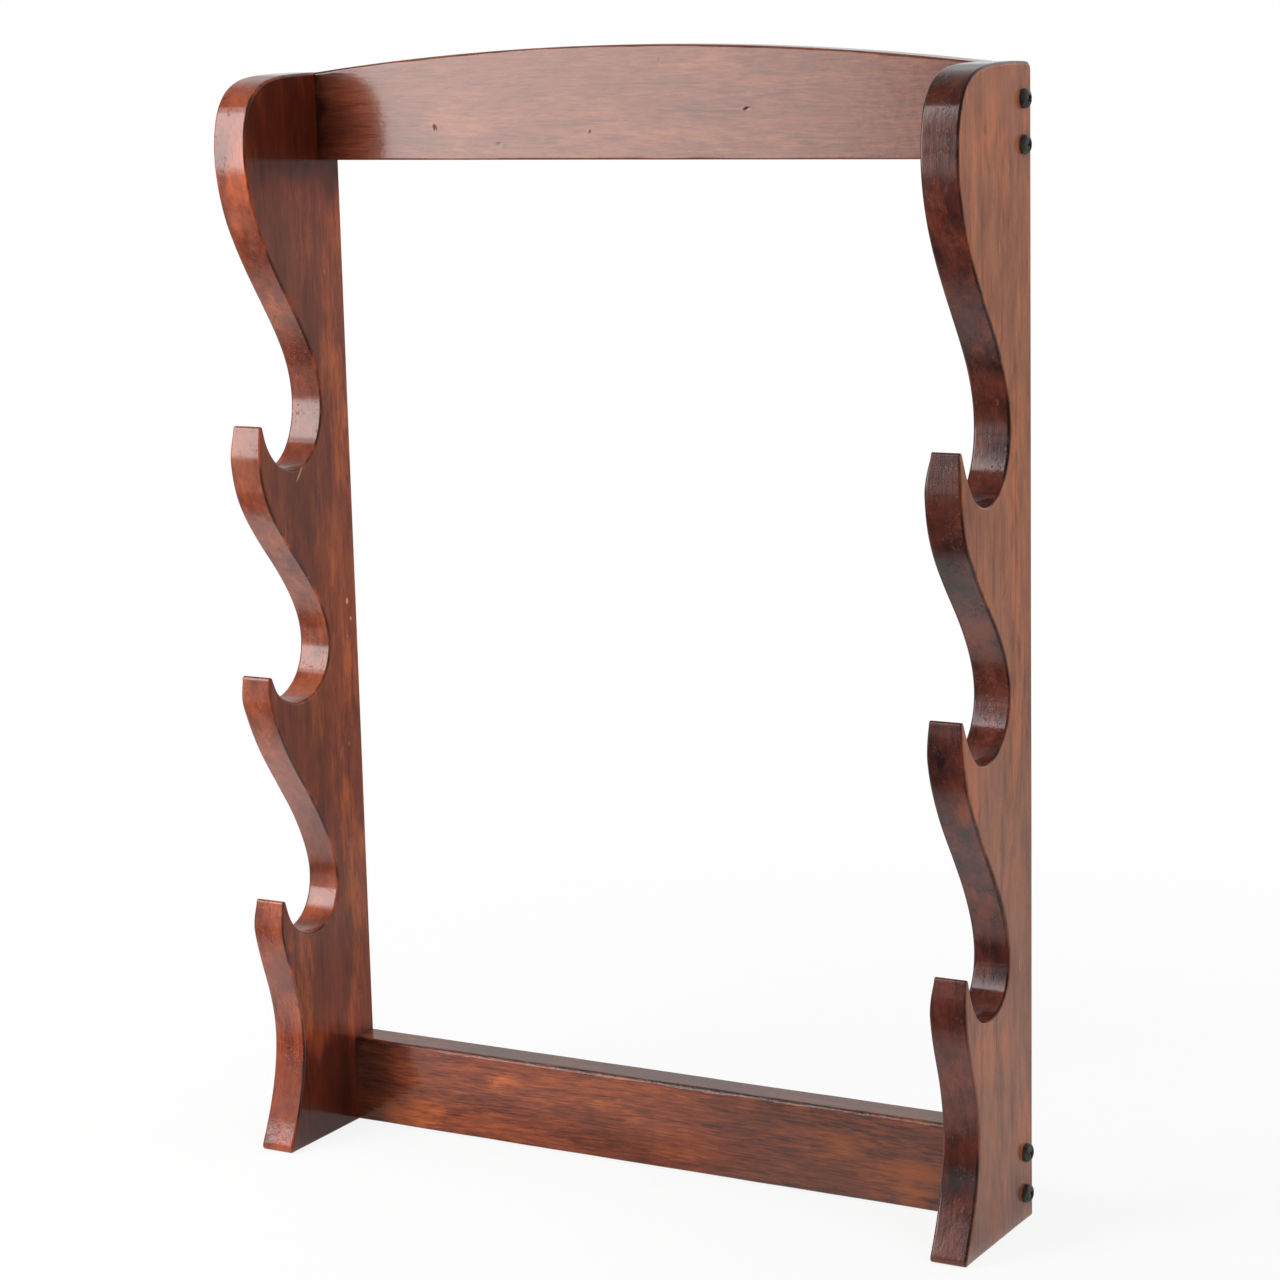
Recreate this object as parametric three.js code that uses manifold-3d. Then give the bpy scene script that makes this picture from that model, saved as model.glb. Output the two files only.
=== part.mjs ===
// Wall-hung wooden rack with three open cradles in each of two scroll-cut side panels.
// Two cross rails, flush with the backs of the panels, join them; each joint is held by two
// pan-head screws driven through the panel into the rail's end. Two keyhole plates let into
// the back of the top rail hang the rack on wall screws.
// Millimetres. +X right, +Y towards the wall, +Z up. The origin is the middle of the footprint
// at the height of the feet. A "depth" is a distance in front of the wall.

import * as THREE from 'three';
import { mergeVertices } from 'three/addons/utils/BufferGeometryUtils.js';
import Module from 'manifold-3d';

const wasm = await Module();
wasm.setup();

// ---- driving dimensions -------------------------------------------------------------------
const WIDTH = 400;                 // over the outer faces of the side panels
const PANEL_T = 19;                // side panel thickness
const EASE = 1.2;                  // eased long edges of the boards
const GAP = 0.3;                   // clearance between neighbouring pieces
const HOLE_EXTRA = 2;              // depth added to the blind screw holes

const SIDES = [['left', -1], ['right', 1]];

const TOP_RAIL_T = 19;             // rail thickness, front to back
const TOP_RAIL_Z0 = 508.5;         // flat lower edge
const TOP_RAIL_END_Z = 552.3;      // height of the arched edge where it meets the panels
const TOP_RAIL_MID_Z = 563;        // height of the arched edge at mid span
const TOP_RAIL_OVERRUN = 8;        // past the panel's inner face, before the ends are trimmed
const ARCH_STEPS = 28;
const BOTTOM_RAIL_T = 18;
const BOTTOM_RAIL_Z0 = 0.6;
const BOTTOM_RAIL_Z1 = 46;

const RAIL_SPAN = WIDTH / 2 - PANEL_T;   // middle of the rack to a panel's inner face
const RAIL_HALF = RAIL_SPAN - GAP;       // half the finished length of a rail

const SCREW_HEAD_R = 4.5;          // pan-head wood screw
const SCREW_HEAD_H = 3;
const SCREW_SHANK_R = 2.1;
const SCREW_LEN = 45;
const SCREW_HOLE_R = SCREW_SHANK_R + GAP;

// Screw heights run from upper to lower.
const TOP_JOINT = { rail: 'top', railT: TOP_RAIL_T, screwZs: [535.4, 514.8] };
const BOTTOM_JOINT = { rail: 'bottom', railT: BOTTOM_RAIL_T, screwZs: [34.6, 14] };
const JOINTS = [TOP_JOINT, BOTTOM_JOINT];

const PLATE_X = 120;               // keyhole plates, either side of the middle
const PLATE_Z = 533;
const PLATE_W = 16;
const PLATE_H = 40;
const PLATE_T = 1.8;
const PLATE_CORNER_R = 3;
const PLATE_SINK = 0.2;            // below the back face of the rail
const KEY_R = 4.6;                 // entry hole for a wall screw's head
const KEY_SLOT_R = 2.3;            // slot that holds its shank
const KEY_ENTRY_DZ = -4;           // heights from the middle of the plate
const KEY_SLOT_DZ = 6.5;
const POCKET_W = 12;               // room in front of the plate for the wall screw's head
const POCKET_H = 23;
const POCKET_D = 7;
const POCKET_CORNER_R = 5.5;
const POCKET_DZ = 0.6;

const PLATE_SCREW_DZ = 15.6;
const PLATE_SCREW_R = 1.4;
const PLATE_SCREW_HEAD_R = 2.7;
const PLATE_SCREW_LEN = 11;
const PLATE_SCREW_SINK = 0.15;     // head below the back face of the plate
const PLATE_HOLE_GAP = 0.45;       // radial clearance of the screw holes in the plate

// Front outline of a side panel as [depth, height], from the top of the back edge down to the
// foot. Each stretch but the last ends at a hook tip, rounded with NOSE_R about its nose.
const STRETCHES = [
  [[4, 552], [12, 552.3], [21, 552.4], [31.2, 552.2], [41.3, 551.9], [51.4, 551.1],
    [61.3, 549.1], [70.2, 544.8], [76.8, 537.4], [80.4, 527.9], [81.8, 517.9], [81.6, 507.8],
    [80.1, 497.8], [77.4, 488.1], [73.7, 478.7], [69.1, 469.7], [63.9, 461.0], [58.3, 452.6],
    [52.5, 444.3], [46.6, 436.1], [40.8, 427.8], [35.4, 419.3], [30.6, 410.3], [27.0, 400.9],
    [25.1, 391.0], [25.3, 380.9], [27.9, 371.2], [33.1, 362.6], [40.7, 356.4], [50.2, 354.2],
    [59.7, 356.0], [68.0, 361.6], [74.0, 369.6], [77.7, 378.5]],
  [[80.4, 377.9], [80.7, 367.4], [80.1, 357.1], [78.0, 347.4], [74.3, 338.2], [69.2, 329.7],
    [63.2, 321.7], [56.9, 314.1], [50.3, 306.6], [43.9, 299.1], [37.8, 291.2], [32.4, 282.9],
    [28.2, 274.0], [25.9, 264.4], [26.7, 254.6], [31.0, 245.7], [38.2, 239.1], [47.3, 235.4],
    [57.1, 235.0], [66.0, 238.3], [73.6, 244.8], [78.9, 254.0]],
  [[81.6, 253.4], [81.2, 246.0], [79.9, 239.0], [77.5, 231.4], [74.0, 223.2], [69.5, 214.4],
    [64.5, 206.1], [59.0, 198.0], [53.3, 190.0], [47.7, 182.0], [42.2, 173.9], [37.2, 165.6],
    [32.8, 156.9], [29.2, 147.8], [27.3, 138.2], [28.2, 128.5], [32.6, 119.9], [40.2, 114.1],
    [49.6, 112.0], [58.9, 113.4], [66.6, 118.4], [72.2, 126.0], [76.1, 135.0]],
  [[78.8, 134.4], [79.3, 124.6], [78.1, 114.7], [75.7, 105.2], [72.7, 95.9], [69.5, 86.6],
    [66.9, 77.2], [65.1, 67.6], [64.4, 57.8], [65.0, 48.1], [66.6, 38.5], [69.1, 29.0],
    [72.4, 19.8], [76.4, 10.8], [80.1, 3.2]],
];
const NOSE_R = 1.4;
const NOSES = [[79.0, 377.9], [80.2, 253.4], [77.4, 134.4]];   // centres of the hook tips
const TOE = [[80.5, 1.5], [79.9, 0.45], [78.8, 0]];            // front of the foot
const TOP_CORNER_R = 4;            // back corners of the panel
const TOP_CORNER_Z = 548;
const FOOT_CORNER_R = 1.5;
const OUTLINE_STEP = 6.5;          // spacing of outline points along the curves

// ---- helpers ------------------------------------------------------------------------------
const solidOf = (geometry) => {
  // Normals and uvs would keep coincident vertices from merging.
  geometry.deleteAttribute('normal');
  geometry.deleteAttribute('uv');
  const merged = mergeVertices(geometry, 1e-4);
  return new wasm.Manifold(new wasm.Mesh({
    numProp: 3,
    vertProperties: new Float32Array(merged.attributes.position.array),
    triVerts: new Uint32Array(merged.index.array),
  }));
};

const geometryOf = (solid) => {
  const mesh = solid.getMesh();
  const geometry = new THREE.BufferGeometry();
  const positions = new Float32Array(mesh.vertProperties);
  geometry.setAttribute('position', new THREE.BufferAttribute(positions, 3));
  geometry.setIndex(new THREE.BufferAttribute(new Uint32Array(mesh.triVerts), 1));
  geometry.computeVertexNormals();
  return geometry;
};

const cut = (body, tools) => tools.reduce((rest, tool) => rest.subtract(solidOf(tool)), body);

const vectors = (points) => points.map(([x, y]) => new THREE.Vector2(x, y));

// outline [depth, height], extruded across X
const ACROSS = new THREE.Matrix4().makeBasis(
  new THREE.Vector3(0, -1, 0), new THREE.Vector3(0, 0, 1), new THREE.Vector3(-1, 0, 0));
// outline [-x, height], extruded from front to back
const BACKWARD = new THREE.Matrix4().makeBasis(
  new THREE.Vector3(-1, 0, 0), new THREE.Vector3(0, 0, 1), new THREE.Vector3(0, 1, 0));

// Board with chamfered edges, centred on its middle plane
const easedBoard = (points, thickness) => {
  const board = new THREE.ExtrudeGeometry(new THREE.Shape(vectors(points)), {
    depth: thickness - 2 * EASE,
    steps: 1,
    curveSegments: 12,
    bevelEnabled: true,
    bevelThickness: EASE,
    bevelSize: EASE,
    bevelOffset: -EASE,
    bevelSegments: 1,
  });
  return board.translate(0, 0, EASE - thickness / 2);
};

const roundedRect = (width, height, radius) => {
  const shape = new THREE.Shape();
  const x = width / 2;
  const y = height / 2;
  shape.moveTo(-x + radius, -y);
  shape.lineTo(x - radius, -y);
  shape.absarc(x - radius, -y + radius, radius, -Math.PI / 2, 0, false);
  shape.lineTo(x, y - radius);
  shape.absarc(x - radius, y - radius, radius, 0, Math.PI / 2, false);
  shape.lineTo(-x + radius, y);
  shape.absarc(-x + radius, y - radius, radius, Math.PI / 2, Math.PI, false);
  shape.lineTo(-x, -y + radius);
  shape.absarc(-x + radius, -y + radius, radius, Math.PI, 1.5 * Math.PI, false);
  return shape;
};

// Upright round-cornered slab, from y = 0 back to y = depth
const slab = (width, height, radius, depth, curveSegments) =>
  new THREE.ExtrudeGeometry(roundedRect(width, height, radius),
    { depth, steps: 1, bevelEnabled: false, curveSegments }).applyMatrix4(BACKWARD);

const cylinder = (radius, length, segments) =>
  new THREE.CylinderGeometry(radius, radius, length, segments);

// Turns +Y of the geometry to +X for side 1, to -X for side -1
const alongX = (geometry, side = 1) => geometry.rotateZ(-side * Math.PI / 2);

// ---- side panels --------------------------------------------------------------------------
const arc = (centreX, centreY, radius, start, end, steps) => {
  const points = [];
  for (let i = 0; i <= steps; i++) {
    const angle = start + (end - start) * i / steps;
    points.push([centreX + radius * Math.cos(angle), centreY + radius * Math.sin(angle)]);
  }
  return points;
};

const stretchPoints = (stretch) => {
  const curve = new THREE.CatmullRomCurve3(
    stretch.map(([depth, z]) => new THREE.Vector3(depth, z, 0)), false, 'centripetal');
  const steps = Math.round(curve.getLength() / OUTLINE_STEP);
  return curve.getSpacedPoints(steps).map(({ x, y }) => [x, y]);
};

// Points of a hook tip, between the end of one stretch and the start of the next
const nosePoints = ([depth, z], from, to) => {
  const start = Math.atan2(from[1] - z, from[0] - depth);
  const end = Math.atan2(to[1] - z, to[0] - depth);
  return arc(depth, z, NOSE_R, start, end, 4).slice(1, -1);
};

const panelOutline = () => {
  const topCorner = arc(TOP_CORNER_R, TOP_CORNER_Z, TOP_CORNER_R, Math.PI, Math.PI / 2, 4);
  const points = topCorner.slice(0, -1);
  STRETCHES.forEach((stretch, i) => {
    points.push(...stretchPoints(stretch));
    if (i < NOSES.length) {
      points.push(...nosePoints(NOSES[i], stretch.at(-1), STRETCHES[i + 1][0]));
    }
  });
  points.push(...TOE);
  points.push(...arc(FOOT_CORNER_R, FOOT_CORNER_R, FOOT_CORNER_R, -Math.PI / 2, -Math.PI, 3));
  return points;
};

const OUTLINE = panelOutline();
const BACK_Y = Math.max(...OUTLINE.map(([depth]) => depth)) / 2;   // plane of the wall
const yAt = (depth) => BACK_Y - depth;

// Assembly screw hole along X, in the middle of the rail's thickness
const screwHole = (length, x, z, railT) =>
  alongX(cylinder(SCREW_HOLE_R, length, 16)).translate(x, yAt(railT / 2), z);

const sidePanel = () => {
  const overrun = 5;               // of the hole tools, past each face
  const board = easedBoard(OUTLINE, PANEL_T).applyMatrix4(ACROSS).translate(0, BACK_Y, 0);
  const holes = JOINTS.flatMap(({ railT, screwZs }) =>
    screwZs.map((z) => screwHole(PANEL_T + 2 * overrun, 0, z, railT)));
  return geometryOf(cut(solidOf(board), holes));
};

// ---- rails --------------------------------------------------------------------------------
// Rail trimmed square to its finished length, with the screw holes in its ends
const railBody = (points, { railT, screwZs }) => {
  const board = easedBoard(points, railT)
    .applyMatrix4(BACKWARD)
    .translate(0, yAt(railT / 2), 0);
  const span = new THREE.BoxGeometry(2 * RAIL_HALF, 200, 1400);

  const overrun = 4;               // of the hole tool, past the rail's end
  const length = SCREW_LEN - PANEL_T + HOLE_EXTRA + overrun;
  const holes = SIDES.flatMap(([, side]) => screwZs.map((z) =>
    screwHole(length, side * (RAIL_HALF + overrun - length / 2), z, railT)));
  return cut(solidOf(board).intersect(solidOf(span)), holes);
};

// Seat, head pocket and screw pilots for the keyhole plate centred at x
const plateRecess = (x) => {
  const sink = PLATE_SINK + PLATE_T + GAP;
  const pilotLength = PLATE_SCREW_LEN + HOLE_EXTRA;
  const seat = slab(PLATE_W + 2 * GAP, PLATE_H + 2 * GAP, PLATE_CORNER_R + GAP, sink + 4, 4)
    .translate(x, BACK_Y - sink, PLATE_Z);
  const pocket = slab(POCKET_W, POCKET_H, POCKET_CORNER_R, POCKET_D + 1, 5)
    .translate(x, BACK_Y - sink - POCKET_D, PLATE_Z + POCKET_DZ);
  const pilots = [-PLATE_SCREW_DZ, PLATE_SCREW_DZ].map((dz) =>
    cylinder(PLATE_SCREW_R + GAP, pilotLength, 12)
      .translate(x, BACK_Y - pilotLength / 2, PLATE_Z + dz));
  return [seat, pocket, ...pilots];
};

const topRail = () => {
  // arc through the two end heights and the mid height
  const rise = TOP_RAIL_MID_Z - TOP_RAIL_END_Z;
  const radius = (RAIL_SPAN * RAIL_SPAN + rise * rise) / (2 * rise);
  const half = RAIL_SPAN + TOP_RAIL_OVERRUN;
  const reach = Math.asin(half / radius);
  const points = [[-half, TOP_RAIL_Z0], [half, TOP_RAIL_Z0]];
  for (let i = 0; i <= ARCH_STEPS; i++) {
    const angle = reach - 2 * reach * i / ARCH_STEPS;
    const z = TOP_RAIL_MID_Z - radius + radius * Math.cos(angle);
    points.push([radius * Math.sin(angle), z]);
  }
  const recesses = SIDES.flatMap(([, side]) => plateRecess(side * PLATE_X));
  return geometryOf(cut(railBody(points, TOP_JOINT), recesses));
};

const bottomRail = () => {
  const half = WIDTH / 2;          // overlong until trimmed
  return geometryOf(railBody([
    [-half, BOTTOM_RAIL_Z0], [half, BOTTOM_RAIL_Z0],
    [half, BOTTOM_RAIL_Z1], [-half, BOTTOM_RAIL_Z1],
  ], BOTTOM_JOINT));
};

// ---- fasteners: axis along Y, head at +Y, y = 0 where the screw is placed -----------------
const crossRecess = ({ span, slotWidth, floorY, topY }) => {
  const height = topY - floorY + 1;
  const middleY = (topY + floorY + 1) / 2;
  return [
    new THREE.BoxGeometry(span, height, slotWidth).translate(0, middleY, 0),
    new THREE.BoxGeometry(slotWidth, height, span).translate(0, middleY, 0),
  ];
};

// Screw turned from a profile of [radius, y], from the tip to the top of the head
const screw = (profile, segments, recess) =>
  cut(solidOf(new THREE.LatheGeometry(vectors(profile), segments)), crossRecess(recess));

// y = 0 is the underside of the head
const panHeadScrew = () => screw([
  [0, -SCREW_LEN], [0.7, -SCREW_LEN + 2],
  [SCREW_SHANK_R, -SCREW_LEN + 7], [SCREW_SHANK_R, 0],
  [SCREW_HEAD_R * 0.97, 0], [SCREW_HEAD_R, 0.5],
  [SCREW_HEAD_R * 0.985, 1.3], [SCREW_HEAD_R * 0.88, 2.1],
  [SCREW_HEAD_R * 0.66, 2.65], [SCREW_HEAD_R * 0.36, SCREW_HEAD_H - 0.08],
  [0, SCREW_HEAD_H],
], 20, { span: 4.6, slotWidth: 0.95, floorY: 1.2, topY: SCREW_HEAD_H });

// y = 0 is the flat top of the head
const countersunkScrew = () => screw([
  [0, -PLATE_SCREW_LEN], [PLATE_SCREW_R, -PLATE_SCREW_LEN + 2.5], [PLATE_SCREW_R, -1.45],
  [PLATE_SCREW_HEAD_R, -0.1], [PLATE_SCREW_HEAD_R, 0], [0, 0],
], 14, { span: 2.6, slotWidth: 0.6, floorY: -0.8, topY: 0 });

// ---- keyhole plates -----------------------------------------------------------------------
const keyholePlate = () => {
  const through = 8;               // length of the cutting tools, which stand along Y
  const toolY = 1;
  const entry = cylinder(KEY_R, through, 20).translate(0, toolY, KEY_ENTRY_DZ);
  const slotEnd = cylinder(KEY_SLOT_R, through, 16).translate(0, toolY, KEY_SLOT_DZ);
  const slot = new THREE.BoxGeometry(2 * KEY_SLOT_R, through, KEY_SLOT_DZ - KEY_ENTRY_DZ)
    .translate(0, toolY, (KEY_SLOT_DZ + KEY_ENTRY_DZ) / 2);

  // 45 degree countersinks open on the back face
  const wide = PLATE_SCREW_HEAD_R + PLATE_HOLE_GAP;
  const narrow = PLATE_SCREW_R + PLATE_HOLE_GAP;
  const sinkDepth = wide - narrow;
  const screwHoles = [-PLATE_SCREW_DZ, PLATE_SCREW_DZ].flatMap((dz) => [
    cylinder(narrow, through, 14).translate(0, toolY, dz),
    new THREE.CylinderGeometry(wide, narrow, sinkDepth, 14)
      .translate(0, PLATE_T - sinkDepth / 2 + 0.01, dz),
  ]);
  const plate = slab(PLATE_W, PLATE_H, PLATE_CORNER_R, PLATE_T, 4);
  return geometryOf(cut(solidOf(plate), [entry, slotEnd, slot, ...screwHoles]));
};

// ---- materials ----------------------------------------------------------------------------
const PANEL_COLOR = 0x8a5a46;
const TOP_RAIL_COLOR = 0xa8857a;
const BOTTOM_RAIL_COLOR = 0x8b4f35;

const material = (color, roughness, metalness) =>
  new THREE.MeshStandardMaterial({ color, roughness, metalness });
const wood = (color) => new THREE.MeshStandardMaterial({ color, roughness: 0.28, metalness: 0 });
const blackSteel = () =>
  new THREE.MeshStandardMaterial({ color: 0x23211f, roughness: 0.42, metalness: 0.85 });
const zincSteel = () =>
  new THREE.MeshStandardMaterial({ color: 0xb9bcc0, roughness: 0.38, metalness: 1 });

// ---- assembly -----------------------------------------------------------------------------
const rack = new THREE.Group();
const add = (name, geometry, finish, x = 0, y = 0, z = 0) => {
  const mesh = new THREE.Mesh(geometry, finish);
  mesh.name = name;
  mesh.position.set(x, y, z);
  rack.add(mesh);
};

for (const [sideName, side] of SIDES) {
  add(`side_panel_${sideName}`, sidePanel(), wood(PANEL_COLOR), side * (WIDTH - PANEL_T) / 2);
}
add('top_rail', topRail(), wood(TOP_RAIL_COLOR));
add('bottom_rail', bottomRail(), wood(BOTTOM_RAIL_COLOR));

const panHead = panHeadScrew();
for (const [sideName, side] of SIDES) {
  for (const { rail, railT, screwZs } of JOINTS) {
    screwZs.forEach((z, i) => {
      const level = i === 0 ? 'upper' : 'lower';
      add(`assembly_screw_${sideName}_${rail}_${level}`, alongX(geometryOf(panHead), side),
        blackSteel(), side * (WIDTH / 2 + GAP), yAt(railT / 2), z);
    });
  }
}

const countersunk = countersunkScrew();
for (const [sideName, side] of SIDES) {
  const x = side * PLATE_X;
  add(`keyhole_plate_${sideName}`, keyholePlate(), zincSteel(),
    x, BACK_Y - PLATE_SINK - PLATE_T, PLATE_Z);
  for (const [level, dz] of [['upper', PLATE_SCREW_DZ], ['lower', -PLATE_SCREW_DZ]]) {
    add(`plate_screw_${sideName}_${level}`, geometryOf(countersunk), zincSteel(),
      x, BACK_Y - PLATE_SINK - PLATE_SCREW_SINK, PLATE_Z + dz);
  }
}

export default rack;
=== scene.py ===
"""Looks of a wall-hung wooden rack: two scroll-cut side panels, an arched top rail and a bottom
rail, black pan-head screws and two zinc keyhole hangers.

X runs along the rails, the wall is towards +Y, the front faces -Y and Z is up. The rack is sized in
millimetres and becomes metres where a mesh is made; the stage is in metres. A depth is measured
forwards from the back plane, y = BACK_Y. A side is -1 for the left (-X) and 1 for the right (+X).
"""

import math

import bmesh
import bpy
import numpy as np
from mathutils import Matrix, Vector
from mathutils.geometry import delaunay_2d_cdt


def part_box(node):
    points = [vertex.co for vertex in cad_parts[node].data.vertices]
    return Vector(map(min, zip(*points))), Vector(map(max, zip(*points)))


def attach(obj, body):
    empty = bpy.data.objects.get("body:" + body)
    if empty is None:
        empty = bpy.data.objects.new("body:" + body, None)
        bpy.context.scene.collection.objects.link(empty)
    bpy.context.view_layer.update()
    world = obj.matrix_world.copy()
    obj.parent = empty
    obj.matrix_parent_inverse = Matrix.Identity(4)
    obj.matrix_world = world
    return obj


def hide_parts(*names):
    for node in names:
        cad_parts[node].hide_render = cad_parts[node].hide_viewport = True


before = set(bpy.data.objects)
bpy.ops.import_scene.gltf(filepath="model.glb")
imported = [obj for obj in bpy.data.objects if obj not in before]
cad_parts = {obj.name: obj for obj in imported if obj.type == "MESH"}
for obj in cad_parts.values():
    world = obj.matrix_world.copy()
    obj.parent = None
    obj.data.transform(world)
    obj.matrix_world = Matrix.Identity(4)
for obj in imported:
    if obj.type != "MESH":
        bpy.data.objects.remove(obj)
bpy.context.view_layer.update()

MM = 0.001
scene = bpy.context.scene

# ----------------------------------------------------------------------------------------------
# dimensions
# ----------------------------------------------------------------------------------------------
left_box, right_box, top_box, bottom_box = (
    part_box(node) for node in ("side_panel_left", "side_panel_right", "top_rail", "bottom_rail"))

BACK_Y = left_box[1].y / MM
PANEL_THICK = (left_box[1].x - left_box[0].x) / MM
HALF_WIDTH = right_box[1].x / MM
INNER_X = HALF_WIDTH - PANEL_THICK                  # inner face of a side panel
RAIL_HALF = INNER_X - 0.05                          # half a rail's length, with a hair of play

TOP_THICK = (top_box[1].y - top_box[0].y) / MM
TOP_BOTTOM_Z = top_box[0].z / MM
ARCH_MID_Z = top_box[1].z / MM
ARCH_END_Z = 552.3
ARCH_RISE = ARCH_MID_Z - ARCH_END_Z
ARCH_RADIUS = (INNER_X ** 2 + ARCH_RISE ** 2) / (2 * ARCH_RISE)
LOW_THICK = (bottom_box[1].y - bottom_box[0].y) / MM
LOW_BOTTOM_Z = bottom_box[0].z / MM
LOW_TOP_Z = bottom_box[1].z / MM

# pan-head screws through the panels into the rail ends, heights from the upper to the lower
SCREW_PITCH = 20.6
TOP_SCREWS = [514.8 + SCREW_PITCH, 514.8]
LOW_SCREWS = [14.0 + SCREW_PITCH, 14.0]
HOLE_RADIUS = 2.4
HOLE_LENGTH = 28.0
DRILL_HALF_ANGLE = 118 / 2

# keyhole hangers, let into the back of the top rail
PLATE_X, PLATE_Z = 120.0, 533.0
PLATE_WIDTH, PLATE_HEIGHT, PLATE_THICK = 16.0, 40.0, 1.8
PLATE_SINK = 0.2
PLATE_SCREW_DZ = 15.6                               # screws above and below the plate's middle

# side panel outline
PANEL_TOP_Z = 552
TOP_CORNER_R = 4
FOOT_CORNER_R = 1.5
FOOT_FRONT = 78.6                                   # depth where the foot's flat base ends
# front edge from the top down, in stretches between the hook tips: (depth, height)
STRETCHES = [
    [[4, 552], [12, 552.3], [21, 552.4], [31.2, 552.2], [41.3, 551.9], [51.4, 551.1],
     [61.3, 549.1], [70.2, 544.8], [76.8, 537.4], [80.4, 527.9], [81.8, 517.9], [81.6, 507.8],
     [80.1, 497.8], [77.4, 488.1], [73.7, 478.7], [69.1, 469.7], [63.9, 461.0], [58.3, 452.6],
     [52.5, 444.3], [46.6, 436.1], [40.8, 427.8], [35.4, 419.3], [30.6, 410.3], [27.0, 400.9],
     [25.1, 391.0], [25.3, 380.9], [27.9, 371.2], [33.1, 362.6], [40.7, 356.4], [50.2, 354.2],
     [59.7, 356.0], [68.0, 361.6], [74.0, 369.6], [77.7, 378.5]],
    [[80.4, 377.9], [80.7, 367.4], [80.1, 357.1], [78.0, 347.4], [74.3, 338.2], [69.2, 329.7],
     [63.2, 321.7], [56.9, 314.1], [50.3, 306.6], [43.9, 299.1], [37.8, 291.2], [32.4, 282.9],
     [28.2, 274.0], [25.9, 264.4], [26.7, 254.6], [31.0, 245.7], [38.2, 239.1], [47.3, 235.4],
     [57.1, 235.0], [66.0, 238.3], [73.6, 244.8], [78.9, 254.0]],
    [[81.6, 253.4], [81.2, 246.0], [79.9, 239.0], [77.5, 231.4], [74.0, 223.2], [69.5, 214.4],
     [64.5, 206.1], [59.0, 198.0], [53.3, 190.0], [47.7, 182.0], [42.2, 173.9], [37.2, 165.6],
     [32.8, 156.9], [29.2, 147.8], [27.3, 138.2], [28.2, 128.5], [32.6, 119.9], [40.2, 114.1],
     [49.6, 112.0], [58.9, 113.4], [66.6, 118.4], [72.2, 126.0], [76.1, 135.0]],
    [[78.8, 134.4], [79.3, 124.6], [78.1, 114.7], [75.7, 105.2], [72.7, 95.9], [69.5, 86.6],
     [66.9, 77.2], [65.1, 67.6], [64.4, 57.8], [65.0, 48.1], [66.6, 38.5], [69.1, 29.0],
     [72.4, 19.8], [76.4, 10.8], [80.1, 3.2]],
]
# rounded hook tips between the stretches: centre (depth, height)
TIP_CENTRES = [[79.0, 377.9], [80.2, 253.4], [77.4, 134.4]]
TIP_RADIUS = 1.4
# the tips as sanded, for each side: (height gained, thickness lost inside, lost outside)
TIP_WEAR = {
    -1: ((0.2, 0.4, 2.1), (-2.8, 0.3, 1.2), (-1.4, 0.3, 1.5)),
    1: ((2.5, 3.2, 1.5), (4.6, 1.6, 0.9), (2.2, 2.0, 0.5)),
}


# ----------------------------------------------------------------------------------------------
# curves
# ----------------------------------------------------------------------------------------------
def lengths(vectors):
    return np.hypot(*vectors.T)


def smooth_noise(count, period, seed):
    """Smooth seeded noise, about -1..1, at count points with the given period in points."""
    knots = np.random.default_rng(seed).uniform(-1, 1, int(count / period) + 5)
    place = np.arange(count) / period
    index = place.astype(int)
    share = place - index
    share = share * share * (3 - 2 * share)
    return knots[index] * (1 - share) + knots[index + 1] * share


def resample(points, step):
    """The same curve with points about step apart."""
    run = np.r_[0, np.cumsum(lengths(np.diff(points, axis=0)))]
    count = max(2, int(round(run[-1] / step)))
    at = np.linspace(0, run[-1], count + 1)
    return np.c_[np.interp(at, run, points[:, 0]), np.interp(at, run, points[:, 1])]


def centripetal(points, step):
    """Centripetal Catmull-Rom through the points, sampled at even spacing."""
    points = np.array(points, float)
    extended = np.vstack([2 * points[0] - points[1], points, 2 * points[-1] - points[-2]])
    share = np.linspace(0, 1, 48, endpoint=False)[:, None]
    pieces = []
    for i in range(len(points) - 1):
        before, start, end, after = extended[i:i + 4]
        gap0, gap1, gap2 = (max(np.linalg.norm(b - a) ** 0.5, 1e-4)
                            for a, b in ((before, start), (start, end), (end, after)))
        chord = (end - start) / gap1
        leave = ((start - before) / gap0 - (end - before) / (gap0 + gap1) + chord) * gap1
        arrive = (chord - (after - start) / (gap1 + gap2) + (after - end) / gap2) * gap1
        pieces.append(start + leave * share
                      + (-3 * start + 3 * end - 2 * leave - arrive) * share ** 2
                      + (2 * start - 2 * end + leave + arrive) * share ** 3)
    pieces.append(points[-1:])
    return resample(np.vstack(pieces), step)


def smooth(points, sigma):
    """Gaussian smoothing that keeps both ends and their directions. sigma is in samples."""
    reach = int(4 * sigma)
    weights = np.exp(-0.5 * (np.arange(-reach, reach + 1) / sigma) ** 2)
    weights /= weights.sum()
    extended = np.vstack([2 * points[0] - points[reach:0:-1], points,
                          2 * points[-1] - points[-2:-reach - 2:-1]])
    return np.c_[np.convolve(extended[:, 0], weights, "valid"),
                 np.convolve(extended[:, 1], weights, "valid")]


def arc(x, y, radius, start, end, steps):
    angles = np.linspace(start, end, steps + 1)
    return np.c_[x + radius * np.cos(angles), y + radius * np.sin(angles)]


def circle(x, y, radius, count):
    """Points of a clockwise circle."""
    angles = -np.arange(count) * 2 * math.pi / count
    return np.c_[x + radius * np.cos(angles), y + radius * np.sin(angles)]


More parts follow.
